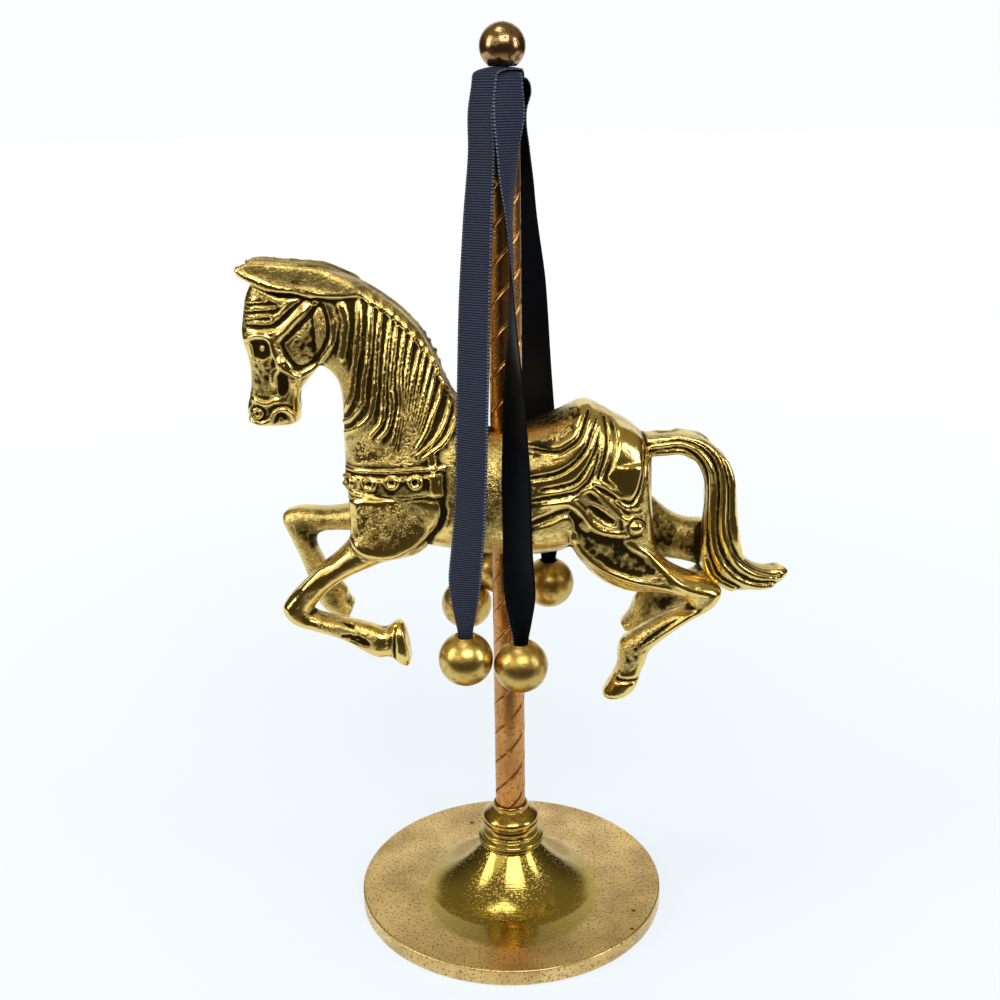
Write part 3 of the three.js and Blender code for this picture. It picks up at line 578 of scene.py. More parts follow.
class Casting:
    """The casting's points while it is carved, in mm, with the side view's helpers."""

    def __init__(self, mesh):
        count = len(mesh.vertices)
        self.mesh = mesh
        self.at = np.empty(count * 3)
        mesh.vertices.foreach_get("co", self.at)
        self.at = self.at.reshape(-1, 3) / MM
        self.edges = np.empty(len(mesh.edges) * 2, np.int64)
        mesh.edges.foreach_get("vertices", self.edges)
        self.edges = self.edges.reshape(-1, 2)
        self.degree = np.bincount(self.edges.ravel(), minlength=count)[:, None]
        self.read_normals()
        self.lift = np.zeros(count)
        self.dull = np.zeros(count)

    def read_normals(self):
        self.write_back()
        normals = np.empty(len(self.at) * 3)
        self.mesh.vertices.foreach_get("normal", normals)
        self.normal = normals.reshape(-1, 3)

    def write_back(self):
        self.mesh.vertices.foreach_set("co", (self.at * MM).ravel())
        self.mesh.update()

    def averaged(self, values, times=1):
        """Values averaged over each point's neighbours."""
        flat = values if values.ndim == 2 else values[:, None]
        for _ in range(times):
            total = np.zeros_like(flat)
            for k in range(flat.shape[1]):
                column = flat[:, k]
                total[:, k] = (
                    np.bincount(self.edges[:, 0], column[self.edges[:, 1]], len(column))
                    + np.bincount(self.edges[:, 1], column[self.edges[:, 0]], len(column))
                )
            flat = total / self.degree
        return flat if values.ndim == 2 else flat[:, 0]

    def smooth(self, times, weight=0.5):
        for _ in range(times):
            self.at += weight * (self.averaged(self.at) - self.at)

    def facing(self, low=0.12, high=0.45):
        """1 where the surface faces sideways, 0 on its edges."""
        return smoothstep(low, high, np.abs(self.normal[:, 1]))

    def near(self, line, margin, where):
        """Numbers of the points in where that are within margin of the line's box."""
        low, high = line.min(0) - margin, line.max(0) + margin
        side = self.at[:, [0, 2]]
        return np.nonzero(where & (side >= low).all(1) & (side <= high).all(1))[0]

    def apply(self, scale=1.0):
        """Moves every point along its normal by what was carved so far."""
        self.at += self.normal * (self.lift * self.facing() * scale)[:, None]
        self.lift[:] = 0
        self.read_normals()


def smoothstep(low, high, value):
    t = np.clip((value - low) / (high - low), 0, 1)
    return t * t * (3 - 2 * t)


def distance_to(points, line):
    """Distance of each point to a line, and the share of the line's length where it is nearest."""
    best = np.full(len(points), 1e9)
    share = np.zeros(len(points))
    steps = np.linalg.norm(np.diff(line, axis=0), axis=1)
    done = np.concatenate([[0], np.cumsum(steps)])
    for i, (a, b) in enumerate(zip(line, line[1:])):
        t = np.clip(((points - a) @ (b - a)) / max(steps[i] ** 2, 1e-9), 0, 1)
        gap = np.linalg.norm(points - a - t[:, None] * (b - a), axis=1)
        closer = gap < best
        best[closer] = gap[closer]
        share[closer] = (done[i] + t[closer] * steps[i]) / done[-1]
    return best, share


def inside(points, outline):
    """Signed distance to a closed outline, positive inside."""
    closed = np.vstack([outline, outline[:1]])
    gap, _ = distance_to(points, closed)
    odd = np.zeros(len(points), bool)
    for a, b in zip(closed, closed[1:]):
        crosses = (a[1] > points[:, 1]) != (b[1] > points[:, 1])
        with np.errstate(divide="ignore", invalid="ignore"):
            edge_x = a[0] + (points[:, 1] - a[1]) * (b[0] - a[0]) / (b[1] - a[1])
        odd ^= crosses & (points[:, 0] < edge_x)
    return np.where(odd, gap, -gap)


def ridge(work, points, width, height, where, taper=0.2):
    """A rounded ridge along a line, or a groove where height is negative."""
    line = smooth_line(points, 8)
    chosen = work.near(line, 2.5 * width, where)
    gap, share = distance_to(work.at[chosen][:, [0, 2]], line)
    ends = np.clip(np.minimum(share, 1 - share) / max(taper, 1e-6), 0, 1) if taper else 1.0
    work.lift[chosen] += height * np.exp(-((gap / width) ** 2)) * (0.25 + 0.75 * np.asarray(ends))


def panel(work, points, height, edge, where, rounded=6):
    """A raised or sunk panel inside an outline, with a slope as wide as edge."""
    outline = smooth_line([*points, points[0]], rounded)[:-1] if rounded else np.asarray(points, float)
    chosen = work.near(outline, 2 * edge, where)
    depth = inside(work.at[chosen][:, [0, 2]], outline)
    work.lift[chosen] += height * smoothstep(-edge / 2, edge / 2, depth)


def dulled(work, points, amount, edge, rough=0.0, *, where):
    """An area the polish never reached: darker by amount, and pitted where rough is set."""
    outline = smooth_line([*points, points[0]], 5)[:-1]
    chosen = work.near(outline, edge, where)
    share = smoothstep(-edge / 2, edge / 2, inside(work.at[chosen][:, [0, 2]], outline))
    work.dull[chosen] = np.maximum(work.dull[chosen], amount * share) if amount > 0 else amount * share
    if rough:
        work.lift[chosen] += rough * share * waviness(work.at[chosen], 1.3)


def boss(work, centre, radius, height, where, ring=0.0):
    """A dome, and a groove round it where ring is its depth."""
    middle = np.array([centre], float)
    chosen = work.near(middle, 2 * radius, where)
    gap = np.linalg.norm(work.at[chosen][:, [0, 2]] - middle, axis=1)
    work.lift[chosen] += height * np.sqrt(np.clip(1 - (gap / radius) ** 2, 0, None))
    work.lift[chosen] -= ring * np.exp(-(((gap - 1.2 * radius) / (0.22 * radius)) ** 2))


def waviness(points, size):
    """Smooth noise about size mm across, from -1 to 1."""
    return np.array([noise_at.noise(Vector(p)) for p in points / size])


def strands(work, lines, height, where, reach=2.2, finer=0.3):
    """Rounded locks that follow the lines, with sharp grooves half way between two lines."""
    smooth = [smooth_line(line, 6) for line in lines]
    everything = np.vstack(smooth)
    chosen = work.near(everything, reach, where)
    side = work.at[chosen][:, [0, 2]]
    found = [distance_to(side, line) for line in smooth]
    gaps = np.array([gap for gap, _ in found])
    shares = np.array([share for _, share in found])
    order = np.argsort(gaps, axis=0)[:2]
    columns = np.arange(len(chosen))
    first, second = gaps[order[0], columns], gaps[order[1], columns]
    phase = first / np.maximum(first + second, 1e-6)
    lock = 1 - np.abs(2 * phase) ** 1.6
    fine = np.cos(4 * math.pi * phase) * 0.5 + 0.5
    fade = smoothstep(reach, reach * 0.45, first) * smoothstep(0.5, 1.7, first + second)
    share = shares[order[0], columns]
    fade *= np.clip(share / 0.12, 0, 1)
    uneven = 1 + 0.5 * waviness(np.column_stack([side, 7.0 * order[0]]), 9)
    work.lift[chosen] += height * uneven * (lock * (1 - finer) + fine * finer - 0.35) * fade


def lofted(stations, side=1):
    """Rings of squared ellipses over the stations, in metres."""
    rows = smooth_line(stations, 4)
    angles = np.linspace(0, 2 * math.pi, 40, endpoint=False)
    u = np.sign(np.cos(angles)) * np.abs(np.cos(angles)) ** (2 / 2.5)
    v = np.sign(np.sin(angles)) * np.abs(np.sin(angles)) ** (2 / 2.5)
    rings = []
    for xa, za, xb, zb, half, y in rows:
        middle = np.array([(xa + xb) / 2, side * y, (za + zb) / 2])
        reach = np.array([xa, side * y, za]) - middle
        rings.append(middle + u[:, None] * reach + v[:, None] * np.array([0, half, 0]))
    return np.array(rings) * MM


def remeshed(bm, voxel):
    """The union of a bmesh's closed masses as one even skin."""
    mould = place_mesh("mould", bm)
    mould.modifiers.new("cast", "REMESH").mode = "VOXEL"
    mould.modifiers["cast"].voxel_size = voxel
    cast = bpy.data.meshes.new_from_object(mould.evaluated_get(bpy.context.evaluated_depsgraph_get()))
    bpy.data.objects.remove(mould)
    return cast


def carve_head(work, out):
    """Ear, brow, eye, cheek, nose, mouth, bridle and forelock."""
    head = out & (work.at[:, 0] < -40) & (work.at[:, 2] > 155)
    cut, dull, dome = (partial(made, work, where=head) for made in (ridge, dulled, boss))
    panel(work, CREST_BAND, 1.1, 1.0, out & (work.at[:, 0] < -12), rounded=3)
    cut([(-74.3, 205.6), (-68.8, 203), (-62.7, 201.4), (-56.2, 200.8), (-51.4, 199.6), (-45.2, 199.6)],
        1.2, 0.7)  # ear's lower rim
    dull([(-73, 202.4), (-65.7, 200.8), (-60.4, 198.9), (-63.4, 197.3), (-67, 199)], 0.5, 1.2)
    cut([(-73, 202), (-68.9, 200.6), (-65.7, 199.1), (-63.4, 197.1)], 0.6, 0.7)
    cut([(-75, 204), (-69.9, 202.2), (-65.2, 200.2), (-58, 199.2)], 0.7, -1.1, taper=0)
    dull([(-74.6, 199), (-63, 197), (-62.3, 193.8), (-66.2, 191.3), (-75, 191)], 0.24, 2, 0.18)
    for height in (197, 194.8, 192.6):  # forelock
        cut([(-75.6, height - 0.6), (-70, height), (-63.5, height + 0.3)], 0.5, -0.5)
    cut([(-74.6, 190.8), (-66.2, 190.9), (-62.3, 193.4), (-59.8, 195.8), (-56.3, 198.9)], 0.6, -1.0)
    cut([(-73, 192.2), (-67, 192.2), (-63.6, 194.4), (-61, 197)], 0.5, 0.5)
    cut([(-54.4, 197.1), (-57.3, 194.6), (-59.9, 192.5), (-63.4, 188.8), (-65.6, 186.7)], 1.1, 0.9)
    cheek = [(-63.5, 185.9), (-60.1, 189.2), (-56.6, 192.5), (-53.1, 196.4), (-50.8, 194.6), (-50.2, 188.4),
             (-52.5, 182.9), (-55.5, 179.8), (-58.9, 178.9), (-61.7, 181.2)]
    dull(cheek, 0.34, 1.6, 0.2)
    cut([*cheek[:4], (-51, 195.4), *cheek[5:], cheek[0]], 0.6, -0.7, taper=0)
    cut([(-48.3, 191.6), (-49.2, 186.7), (-51.2, 183.2), (-53.8, 180.2), (-57.3, 177.2), (-59.8, 176.6),
         (-62.7, 177.9), (-64.3, 179.3), (-65, 181.3), (-66.1, 184.2), (-67.2, 186.7)], 0.85, 1.1)
    socket = [(-72.6, 186.5), (-70, 187), (-67.4, 186.1), (-67.2, 183.2), (-68.7, 181.4), (-72, 182)]
    dull(socket, 0.5, 1.4)
    panel(work, socket, -0.7, 1.6, head)
    dome((-69.4, 184.4), 0.9, 0.7)  # eye
    cut([(-74.8, 186.4), (-71.7, 188), (-68.4, 188.1), (-66.6, 186.9)], 0.6, 0.9)
    cut([(-65.2, 180.2), (-62.9, 180.4), (-62, 178)], 1.3, 0.9)  # cheekbone
    cut([(-64.4, 179.4), (-66.2, 177.2), (-67.2, 173.2)], 1.0, 0.8)
    cut([(-60.6, 177.4), (-59.9, 175.6), (-61.4, 173.4)], 0.9, 0.7)
    dull([(-72.6, 181.6), (-68.6, 181.4), (-67.9, 178), (-69, 171.2), (-72.6, 171.2)], 0.36, 1.6, 0.18)
    hollow = [(-65.5, 176.6), (-63.2, 176.6), (-62.5, 172.9), (-64.1, 170.3), (-65.9, 171.6)]
    dull(hollow, 0.55, 1.2)
    panel(work, hollow, -0.6, 1.2, head)
    cut([(-74, 169.6), (-71, 168.3), (-68.9, 168.1), (-66.8, 168.9), (-64.3, 168.7)], 0.9, 0.8)
    dome((-72.4, 165), 1.8, 0.8, ring=0.5)  # nostril
    dome((-72.4, 165), 1.0, -1.1)
    dull([(-70.6, 166.6), (-64.6, 165.6), (-62.6, 162.4), (-68, 161.6)], 0.4, 1.4)
    cut([(-75, 162.8), (-71.6, 162), (-68.5, 163), (-67.1, 165.2), (-65, 166.3), (-62.9, 165.2),
         (-62, 162.8)], 0.6, 0.9, taper=0)  # lips
    cut([(-67.4, 162.6), (-65.8, 164.6), (-64.2, 163)], 0.8, -0.9)  # mouth
    cut([(-60.4, 173.6), (-61, 169), (-61.4, 163.6)], 0.8, 0.7)  # chin strap


def carve_cloth(work, out):
    """The cloth's folds behind the seat, the breast band and the straps."""
    body = out & (np.abs(work.at[:, 1]) > 3)
    cut, dull, dome, lift = (partial(made, work, where=body) for made in (ridge, dulled, boss, panel))
    for line in CLOTH_GROOVES:
        cut(line, 0.62, -1.15, taper=0.15)
    rump = [(31, 160), (34.4, 161.6), (38.6, 158), (39.6, 151.2), (38.4, 144.9), (35.7, 141), (31.4, 143.2),
            (29.6, 149)]
    lift(rump, 0.8, 3.4)
    cut([(23.2, 146.3), (28.7, 143.1), (34.9, 139.6), (37.6, 141.7), (38.9, 145.6), (39.8, 150.5),
         (40.6, 155)], 0.6, -1.0)
    dull(rump, -0.3, 3)
    lift([(-47.2, 142.4), (-40, 142), (-30, 141.8), (-18.6, 142.6), (-18.6, 149.4), (-26, 148.8),
          (-36, 147.8), (-47, 147.6)], 0.8, 0.8, rounded=0)  # breast band
    cut([(-47, 148.9), (-36, 149.4), (-26, 150.2), (-18, 150.8)], 0.6, 0.7, taper=0)
    for x, z in BREAST_STUDS:
        rim = [(x + 1.5 * math.cos(a), z + 1.5 * math.sin(a)) for a in np.linspace(0, 2 * math.pi, 13)]
        cut(rim, 0.5, 1.1, taper=0)
        dome((x, z), 1.0, -0.4)
    cut([(-21.8, 157), (-21, 148), (-20.8, 140.6)], 1.1, 0.9)
    for line in ([(20.5, 143.4), (23.8, 144.4), (26.6, 142.4), (30.4, 138.4), (36, 133)],
                 [(8.2, 139.3), (15.9, 140.3), (18.8, 139.6), (22.2, 136.2), (26, 131.9), (30.3, 130.6), (35, 131)]):
        cut(line, 1.1, 0.75, taper=0.1)
    lift([(23.4, 139), (26, 138.4), (30.8, 134.6), (29.4, 133.6), (25.4, 136)], -0.9, 1.0)
    lift([(33.4, 135.8), (39.6, 136), (40, 130), (33.8, 129.6)], 0.9, 0.9, rounded=0)
    dome((37, 132.4), 2.2, 1.7, ring=0.5)
    cut([(23.3, 146.4), (26.6, 145.6), (29.9, 143.5), (32.7, 140.3), (34.6, 138.7)], 0.9, 1.1)
    lift([(6, 125.4), (18, 126), (20, 130.6), (17.4, 136.2), (12, 134), (6, 131.8)], 0.8, 1.2)
    cut([(6, 133.2), (12, 135.9), (17, 138.2)], 0.8, -1.1)


def carve_limbs(work, out):
    """Shoulder, thigh, tendons and the hooves' coronets."""
    y = work.at[:, 1]
    near = out & (y < -2)
    both = out & (np.abs(y) > 3)
    cut, dull = (partial(made, work, where=near) for made in (ridge, dulled))
    panel(work, [(-47.6, 140.4), (-38, 141.6), (-26, 141.8), (-20, 139), (-22, 131), (-28, 126.2), (-36, 123.4),
                 (-46, 127.6)], 0.9, 2.0, both)  # shoulder
    ridge(work, [(-18.4, 141), (-19, 134.6), (-23.4, 127.6), (-29, 123.6)], 1.4, -1.3, both)
    thigh = [(20.7, 131.6), (31, 129.8), (36.6, 125.1), (43, 118.5), (38.2, 117), (29.2, 120), (22.9, 125.8)]
    dulled(work, thigh, 0.3, 3.0, 0.12, where=both)
    panel(work, thigh, -0.7, 3.0, both)
    cut([(18, 131.6), (21.3, 124.9), (27.8, 119.6), (36.2, 115.9), (45.9, 113.4), (51, 110.4)], 1.0, 0.8)
    cut([(34.6, 127.3), (40.2, 124), (45.2, 118.9), (50.2, 113.9), (55.9, 111.3), (61, 110.3)], 1.2, 0.8)
    dull([(-56, 107), (-44, 101), (-40, 98.6), (-41, 93), (-48, 96.6), (-57, 100.4)], 0.5, 2.0, 0.15)
    dull([(46, 105.4), (54, 107.6), (44, 96), (40, 90), (35, 84.4), (33.6, 89), (35, 95)], 0.5, 2.4, 0.15)
    cut([(-53.6, 121.4), (-58, 116.4), (-62, 111.4)], 1.3, 0.8)
    cut([(-57, 108.4), (-52, 104.2), (-45, 99.6)], 0.8, -0.5)
    panel(work, [(-50, 98.6), (-46, 98.4), (-42.4, 96.4), (-43, 94.4), (-47, 95.6), (-50.4, 97)], -0.7, 0.9, near)
    for line in ([(-34.8, 88.8), (-34.4, 100.8)], [(32.6, 82.6), (40.6, 82)]):
        cut(line, 0.8, -0.8, taper=0)
    cut([(56.4, 104.4), (50, 100.2), (43, 95), (38.4, 91.4)], 0.9, 0.5)
    cut([(52.4, 103.6), (46, 99), (40, 94)], 0.7, -0.6)


def hollowness(work):
    """How sheltered each point is, from 0 on the high places to 1 in the recesses."""
    total = np.zeros(len(work.at))
    at = work.at
    for times, scale in ((2, 0.03), (6, 0.08), (24, 0.24)):
        at = work.averaged(work.at, times)
        total += ((at - work.at) * work.normal).sum(1) / scale
    return np.clip(0.47 + 0.2 * work.averaged(total, 1), 0, 1)


class ORNAMENT_OT_horse(bpy.types.Operator):
    """Casts the horse and carves it"""

    bl_idname = "ornament.horse"
    bl_label = "Horse"

    def execute(self, context):
        settings = context.scene.ornament_horse
        bm = bmesh.new()
        for table in (TRUNK, NECK, HEAD, NEAR_FORELEG, FAR_FORELEG, NEAR_HIND, FAR_HIND, TAIL):
            skin(bm, lofted(table))
        for side in (1, -1):
            skin(bm, lofted(EAR, side))
        closed(bm)
        mesh = remeshed(bm, settings.voxel)
        work = Casting(mesh)
        work.smooth(4)
        poll = smoothstep(-54, -46, work.at[:, 0]) * smoothstep(194, 198, work.at[:, 2])
        for _ in range(60):
            work.at += 0.5 * poll[:, None] * (work.averaged(work.at) - work.at)
        flat = inside(work.at[:, [0, 2]], np.array(CREST_BAND))
        side = np.minimum(np.abs(work.at[:, 1]), 7.2) * np.sign(work.at[:, 1])
        held = smoothstep(0, 1, flat) * (work.at[:, 0] < -44)
        work.at[:, 1] += held * (side - work.at[:, 1])
        work.read_normals()
        out = work.normal[:, 1] * np.sign(work.at[:, 1]) > 0
        carve_limbs(work, out)
        carve_cloth(work, out)
        carve_head(work, out)
        neck = out & (np.abs(work.at[:, 1]) > 4) & (work.at[:, 0] < -12)
        strands(work, MANE_LOCKS, 1.5, neck)
        tail = (work.at[:, 0] > 41) & (np.abs(work.at[:, 1]) < 7.4)
        strands(work, TAIL_STRANDS, 1.7, tail & out, reach=2.4, finer=0.0)
        dulled(work, [(52, 150.4), (56, 149), (57.6, 141), (57.6, 128), (57, 118), (60.4, 118), (59.6, 128),
                      (59.9, 141), (58.6, 149), (54, 153.4)], 0.5, 1.6, 0.2, where=tail & out)
        work.apply(settings.carving)
        work.smooth(1, 0.4)
        work.read_normals()
        work.at += work.normal * (0.1 * waviness(work.at, 5) + 0.06 * waviness(work.at + 50, 1.6))[:, None]
        work.read_normals()
        # Painted shade: faces turned toward the other side of the horse, between the legs, are darkened as if
        # sheltered from the light; the rest is tarnish in the recesses.
        inward = work.normal[:, 1] * np.sign(work.at[:, 1]) * smoothstep(1, 3, np.abs(work.at[:, 1]))
        shade = hollowness(work) + 0.5 * smoothstep(0.1, -0.6, inward) + work.averaged(work.dull, 2)
        band = smoothstep(0.8, 2.2, inside(work.at[:, [0, 2]], np.array(CREST_BAND)))
        shade += 0.85 * band * (0.74 - shade)
        put_attribute(mesh, "hollow", np.clip(shade, 0, 1.2))
        piece = bpy.data.objects.new("horse_cast", mesh)
        context.scene.collection.objects.link(piece)
        faces = 2 * len(mesh.polygons)
        if faces > MOST_FACES:
            thin = piece.modifiers.new("thin", "DECIMATE")
            thin.ratio = MOST_FACES / faces
            piece.data = bpy.data.meshes.new_from_object(piece.evaluated_get(context.evaluated_depsgraph_get()))
            piece.modifiers.clear()
        brass = cast_brass("brass, cast and rubbed", tuple(settings.brass), tuple(settings.tarnish))
        piece.data.materials.append(brass)
        piece.data.shade_smooth()
        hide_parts("horse")
        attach(piece, "root")
        return {"FINISHED"}


# ---- the ribbons and their beads ----
class ORNAMENT_OT_beads(bpy.types.Operator):
    """Turns the six beads with their string holes"""

    bl_idname = "ornament.beads"
    bl_label = "Beads"

    def execute(self, context):
        settings = context.scene.ornament_ribbons
        radius = settings.bead_diameter / 2
        hole = 2.8 * MM
        mouth = math.degrees(math.acos(hole / radius))
        metal = turned_brass("brass, brushed and mottled", tuple(settings.bead_brass), srgb("8c6c34"), 2.2, 0.5, 0.3)
        top = radius * math.sin(math.radians(mouth))
        profile = [(0, -radius), *arc((0, 0), radius, -89, mouth - 4, 40)]
        profile += [(hole + 0.25 * MM, top), (hole, top - 0.2 * MM), (hole, top - 3 * MM), (0, top - 3.2 * MM)]
        for node, foot in BEAD_CENTRES.items():
            bm = spun(profile, 64)
            bmesh.ops.translate(bm, verts=bm.verts[:], vec=foot + Vector((0, 0, radius)))
            keep(f"{node}_turned", bm, metal, node)
        return {"FINISHED"}


# Each ribbon's two tails: the way it leaves the crossing in degrees, then
# z, x, y, width and turn of its width, in mm and degrees, down to its bead.
RIBBONS = {
    "ribbon_1": (2, [
        ("bead_1", 230, [(249, -6.2, -6.6, 8.4, -38), (238, -6.2, -8.2, 8.6, -36), (225, -7.1, -10.6, 9, -34),
                         (199, -8.6, -15, 9.6, -29), (171, -9.6, -19.6, 9.6, -27), (136, -11.1, -19.4, 9.6, -24)]),
        ("bead_2", 76, [(249, 2.4, 10.4, 7, -6), (238, 2.6, 13.2, 8, 4), (225, 3.6, 15, 9, 14),
                        (199, 5.2, 18.2, 9.6, 14), (172, 7, 22.4, 9.6, 14), (160, 7, 23, 9, 14)])]),
    "ribbon_2": (1, [
        ("bead_3", 282, [(249, 1.7, -8.4, 8.8, 20), (239.5, 1.4, -9.6, 9, 46), (231, 1.3, -10.6, 9.2, 60),
                         (222, 1.5, -12, 9.4, 76), (210, 1.9, -14, 9.6, 88), (198, 2.1, -16, 9.6, 97),
                         (186, 2.3, -17.8, 9.6, 108), (172, 2.4, -19.4, 9.6, 126), (163, 2.5, -20, 9.6, 132),
                         (148, 2.7, -20, 9.6, 143), (124, 3, -19.6, 9.6, 150)]),
        ("bead_4", 100, [(249, -1.2, 8.8, 7.2, 2), (238, -0.4, 11.1, 7.8, 10), (225, 0.2, 12.8, 8.8, 14),
                         (199, 1.2, 15.9, 9.6, 14), (171, 1.6, 19.9, 9.6, 14), (150, 1, 19.6, 9.6, 14),
                         (136, -1.2, 19.4, 9.6, 14)])]),
    "ribbon_3": (0, [
        ("bead_5", 146, [(249, -6.4, 4.2, 6.6, 56), (238, -6.8, 6.2, 7.2, 48), (225, -7.7, 9, 8.2, 42),
                         (199, -8.9, 14.6, 9.4, 34), (171, -10, 19.4, 9.4, 34), (125, -12, 19.4, 9.4, 24)]),
        ("bead_6", 37, [(249, 4.6, 3.9, 6.6, -50), (238, 4.2, 6.6, 7.4, -30), (225, 4.6, 9, 8.4, 4),
                        (199, 7.4, 14, 9.6, 14), (171, 9.3, 18.8, 9.6, 14), (160, 10.1, 19.2, 9.6, 14),
                        (128, 12.6, 19.4, 9.6, 14)])]),
}


def tail_route(level, bead, toward, route):
    """Rows of x, y, z, width, turn and roll of a tail, from the crossing into its bead."""
    crossing = POLE_HIGH.z / MM + 0.9 + 1.1 * level
    way = math.radians(toward)
    rows = [(reach * math.cos(way), reach * math.sin(way), crossing + drop, width, route[0][4], 0)
            for reach, drop, width in ((1.5, 0, 9.2), (4.4, -0.2, 8.8), (6.1 + 0.75 * level, -1.6, 8.2),
                                       (6.6 + 0.75 * level, -4, 8.2))]
    rows += [(x, y, z, width, turn, 0) for z, x, y, width, turn in route]
    foot = BEAD_CENTRES[bead] / MM
    mouth = foot.z + 8.1 + 7.6
    last = route[-1][4]
    settle = 180 * round(last / 180)
    rows.append((foot.x, foot.y, mouth + 14, 8.8, (last + settle) / 2, 0.5))
    rows += [(foot.x, foot.y, z, width, settle, 1) for z, width in ((mouth + 6, 6), (mouth, 4), (mouth - 2.9, 4))]
    return rows


def evenly(rows, step):
    """A smooth line through unevenly spaced rows, with one row every step."""
    p = np.asarray(rows, float)
    s = np.concatenate([[0], np.cumsum(np.linalg.norm(np.diff(p[:, :3], axis=0), axis=1))])
    slope = np.gradient(p, s, axis=0)
    want = np.linspace(0, s[-1], int(s[-1] / step) + 1)
    i = np.clip(np.searchsorted(s, want, side="right") - 1, 0, len(s) - 2)
    span = (s[i + 1] - s[i])[:, None]
    t = (want - s[i])[:, None] / span
    line = ((2 * t**3 - 3 * t**2 + 1) * p[i] + (t**3 - 2 * t**2 + t) * span * slope[i]
            + (3 * t**2 - 2 * t**3) * p[i + 1] + (t**3 - t**2) * span * slope[i + 1])
    return want, line


class ORNAMENT_OT_ribbons(bpy.types.Operator):
    """Lays the three ribbons over the pole's end and down into their beads"""

    bl_idname = "ornament.ribbons"
    bl_label = "Ribbons"

    def execute(self, context):
        settings = context.scene.ornament_ribbons
        face = grosgrain("grosgrain ribbon, ribbed side", tuple(settings.navy), settings.rib_pitch)
        back = satin("grosgrain ribbon, satin side", tuple(settings.navy))
        cut = settings.width / MM
        thick = settings.thickness / MM
        columns = 12
        u = np.linspace(-1, 1, columns + 1)
        for name, (level, tails) in RIBBONS.items():
            one, other = (tail_route(level, *tail) for tail in tails)
            run, rows = evenly([*reversed(one), *other], 0.8)
            centre, width, turn, roll = rows[:, :3], rows[:, 3], np.radians(rows[:, 4]), rows[:, 5]
            across = np.stack([np.cos(turn), np.sin(turn), 0 * turn], 1)
            out = np.cross(across, np.gradient(centre, axis=0))
            out /= np.linalg.norm(out, axis=1)[:, None]
            width = np.minimum(width * cut / 9.6, cut)
            rings = []
            for k in range(len(rows)):
                # The gathered end rolls round; elsewhere the ribbon is nearly flat.
                bend = 0.25 + 1.6 * max(0.0, roll[k]) * (1 - width[k] / cut)
                arm = width[k] / 2 / math.sin(bend) if bend > 0.01 else 1e3
                x, lift = arm * np.sin(bend * u), arm * (np.cos(bend * u) - 1)
                lift -= lift.mean()
                mid = centre[k] + x[:, None] * across[k] + lift[:, None] * out[k]
                skew = np.sin(bend * u)[:, None] * across[k] + np.cos(bend * u)[:, None] * out[k]
                rings.append(np.vstack([mid + skew * thick / 2, (mid - skew * thick / 2)[::-1]]))
            bm = bmesh.new()
            places = skin(bm, np.array(rings) * MM)
            layer = bm.loops.layers.uv.new("woven")
            for f, corners in places.items():
                f.material_index = int(min(i for i, _ in corners) > columns)
                for loop, (i, j) in zip(f.loops, corners):
                    place = u[i] if i <= columns else u[max(0, 2 * columns + 1 - i)]
                    loop[layer].uv = (place * cut / 2 * MM, run[j] * MM)
            closed(bm)
            piece = keep(f"{name}_woven", bm, face, name)
            piece.data.materials.append(back)
        return {"FINISHED"}


# ---- the stage ----
LIT = Vector((0, 0, 0.15))  # where the lamps are aimed


def backdrop(world, strength):
    """White behind the object; round it a bright ceiling and back wall, and a dark room in front."""
    world.use_nodes = True
    world.node_tree.nodes.clear()
    add = partial(add_node, world.node_tree)
    x, y, z = add("SeparateXYZ", add("TexCoord", give="Generated")).node.outputs
    flat = add("Math SQRT", add("Math SUBTRACT", 1.0, add("Math MULTIPLY", z, z)))
    level = add("Math MULTIPLY", add("Math ADD", z, 1.0), 0.5)
    # A white sheet stands behind, as wide as 25 degrees each way and as high as 40.
    bearing = add("Math DIVIDE", y, add("Math MAXIMUM", flat, 0.001))
    sheet = add("ValToRGB", add("Math MULTIPLY", add("Math ADD", bearing, 1.0), 0.5), stops=[(0.90, 0), (0.955, 1)])
    lit = add("Mix MULTIPLY", 1.0, sheet, add("ValToRGB", level, stops=[(0.80, 1), (0.835, 0)]))
    heights = ((0.1, "d8d4c8"), (0.24, "4c4434"), (0.5, "3c3426"), (0.62, "504630"), (0.8, "8a8260"), (1.0, "968e6c"))
    dim = add("ValToRGB", level, stops=[(height, srgb(shade)) for height, shade in heights])
    room = add("Background", add("Mix MIX", lit, dim, srgb("fbfbf8")), strength)
    both = add("MixShader", add("LightPath"), room, add("Background", srgb("fbffff"), 1.0))
    add("OutputWorld", both)


def softbox(name, place, size, power, shade):
    lamp = bpy.data.lights.new(name, "AREA")
    lamp.shape = "RECTANGLE"
    lamp.size, lamp.size_y = size
    lamp.energy = power
    lamp.color = srgb(shade)[:3]
    holder = bpy.data.objects.new(name, lamp)
    holder.location = place
    holder.rotation_euler = (LIT - place).to_track_quat("-Z", "Y").to_euler()
    bpy.context.scene.collection.objects.link(holder)


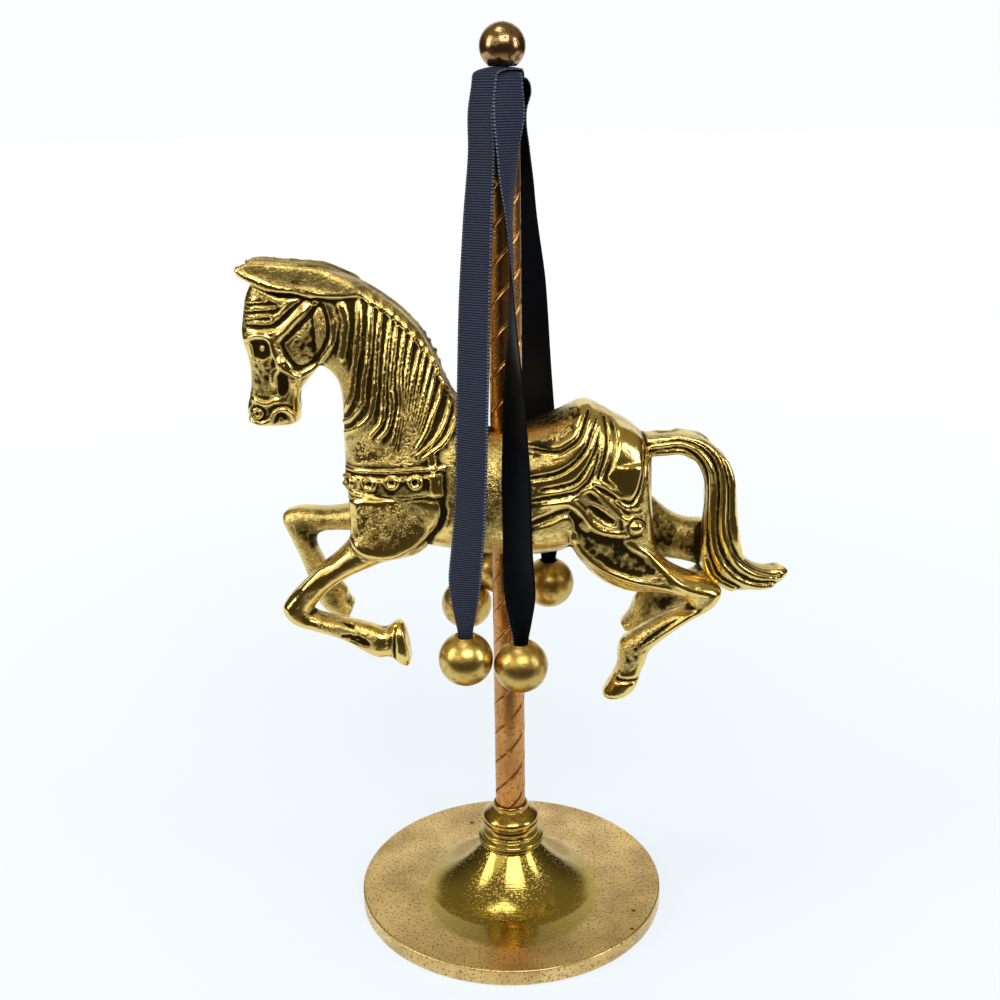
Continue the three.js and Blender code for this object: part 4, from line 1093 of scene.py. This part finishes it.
class ORNAMENT_OT_stage(bpy.types.Operator):
    """Sets the floor, the light and the camera"""

    bl_idname = "ornament.stage"
    bl_label = "Stage"

    def execute(self, context):
        scene = context.scene
        settings = scene.ornament_stage
        scene.view_settings.view_transform = "Standard"
        scene.world = bpy.data.worlds.new("studio")
        backdrop(scene.world, settings.light)
        material, add = new_material("white paper")
        away = add("VectorMath LENGTH", add("TexCoord", give="Object"))
        tint = add("ValToRGB", away, stops=[(0.0, tuple(settings.floor)), (0.9, srgb("fbffff"))])
        finish(material, {"Base Color": srgb("7a7d80"), "Specular IOR Level": 0.0, "Roughness": 0.6,
                          "Emission Color": tint, "Emission Strength": 0.98})
        # The sheet that the metal reflects ends just in front; the rest only fills the view.
        for name, size, place, drop in (("paper", (0.8, 0.62), (0, 0.5), 0.2), ("floor", (7, 7), (0, 0), 0.6)):
            bm = bmesh.new()
            bmesh.ops.create_grid(bm, x_segments=4, y_segments=4, size=1)
            bmesh.ops.scale(bm, verts=bm.verts[:], vec=(*size, 1))
            bmesh.ops.translate(bm, verts=bm.verts[:], vec=(*place, BASE_LOW.z - drop * MM))
            ground = place_mesh(name, bm, material)
            ground.visible_glossy = name == "paper"
        for name, place, size, power, shade in (
                ("window", (0.12, -0.66, 0.74), (0.6, 0.42), 4.4, "fffdf6"),
                ("wall", (-0.75, -0.9, 0.75), (0.9, 0.7), 2.0, "fff6e2"),
                ("left window", (-0.95, -0.3, 0.6), (0.35, 0.7), 4.0, "fffdf6"),
                ("right window", (0.95, -0.35, 0.5), (0.3, 0.6), 3.0, "f6f9ff"),
                ("overhead", (-0.15, -0.1, 1.1), (0.4, 0.3), 1.5, "fffdf8")):
            softbox(name, Vector(place), size, power * settings.light, shade)
        lens = bpy.data.cameras.new("camera")
        lens.lens = 46.8
        lens.sensor_width = 36
        camera = bpy.data.objects.new("camera", lens)
        camera.matrix_world = (
            Matrix.Translation((-0.00216, -0.3731, 0.2545))
            @ Matrix.Rotation(math.radians(90 - 17.603), 4, "X")
            @ Matrix.Rotation(-0.01275, 4, "Z"))
        scene.collection.objects.link(camera)
        scene.camera = camera
        return {"FINISHED"}


class ORNAMENT_PT_panel(bpy.types.Panel):
    bl_label = "Carousel horse ornament"
    bl_idname = "ORNAMENT_PT_panel"
    bl_space_type = "VIEW_3D"
    bl_region_type = "UI"
    bl_category = "Ornament"

    def draw(self, context):
        for made in OPERATORS:
            self.layout.operator(made.bl_idname)
        for held in SETTINGS:
            box = self.layout.box()
            group = getattr(context.scene, held)
            for name in group.bl_rna.properties.keys():
                if name not in ("rna_type", "name"):
                    box.prop(group, name)


SETTINGS = {
    "ornament_stand": StandSettings,
    "ornament_horse": HorseSettings,
    "ornament_ribbons": RibbonSettings,
    "ornament_stage": StageSettings,
}
OPERATORS = (ORNAMENT_OT_base, ORNAMENT_OT_collar, ORNAMENT_OT_pole, ORNAMENT_OT_finial, ORNAMENT_OT_beads,
             ORNAMENT_OT_ribbons, ORNAMENT_OT_horse, ORNAMENT_OT_stage)


def register():
    for made in (*SETTINGS.values(), *OPERATORS, ORNAMENT_PT_panel):
        bpy.utils.register_class(made)
    for held, group in SETTINGS.items():
        setattr(bpy.types.Scene, held, bpy.props.PointerProperty(type=group))


def unregister():
    for held in SETTINGS:
        delattr(bpy.types.Scene, held)
    for made in (ORNAMENT_PT_panel, *reversed(OPERATORS), *SETTINGS.values()):
        bpy.utils.unregister_class(made)


def main():
    register()
    for made in OPERATORS:
        getattr(bpy.ops.ornament, made.bl_idname.split(".")[1])()


if __name__ == "__main__":
    main()
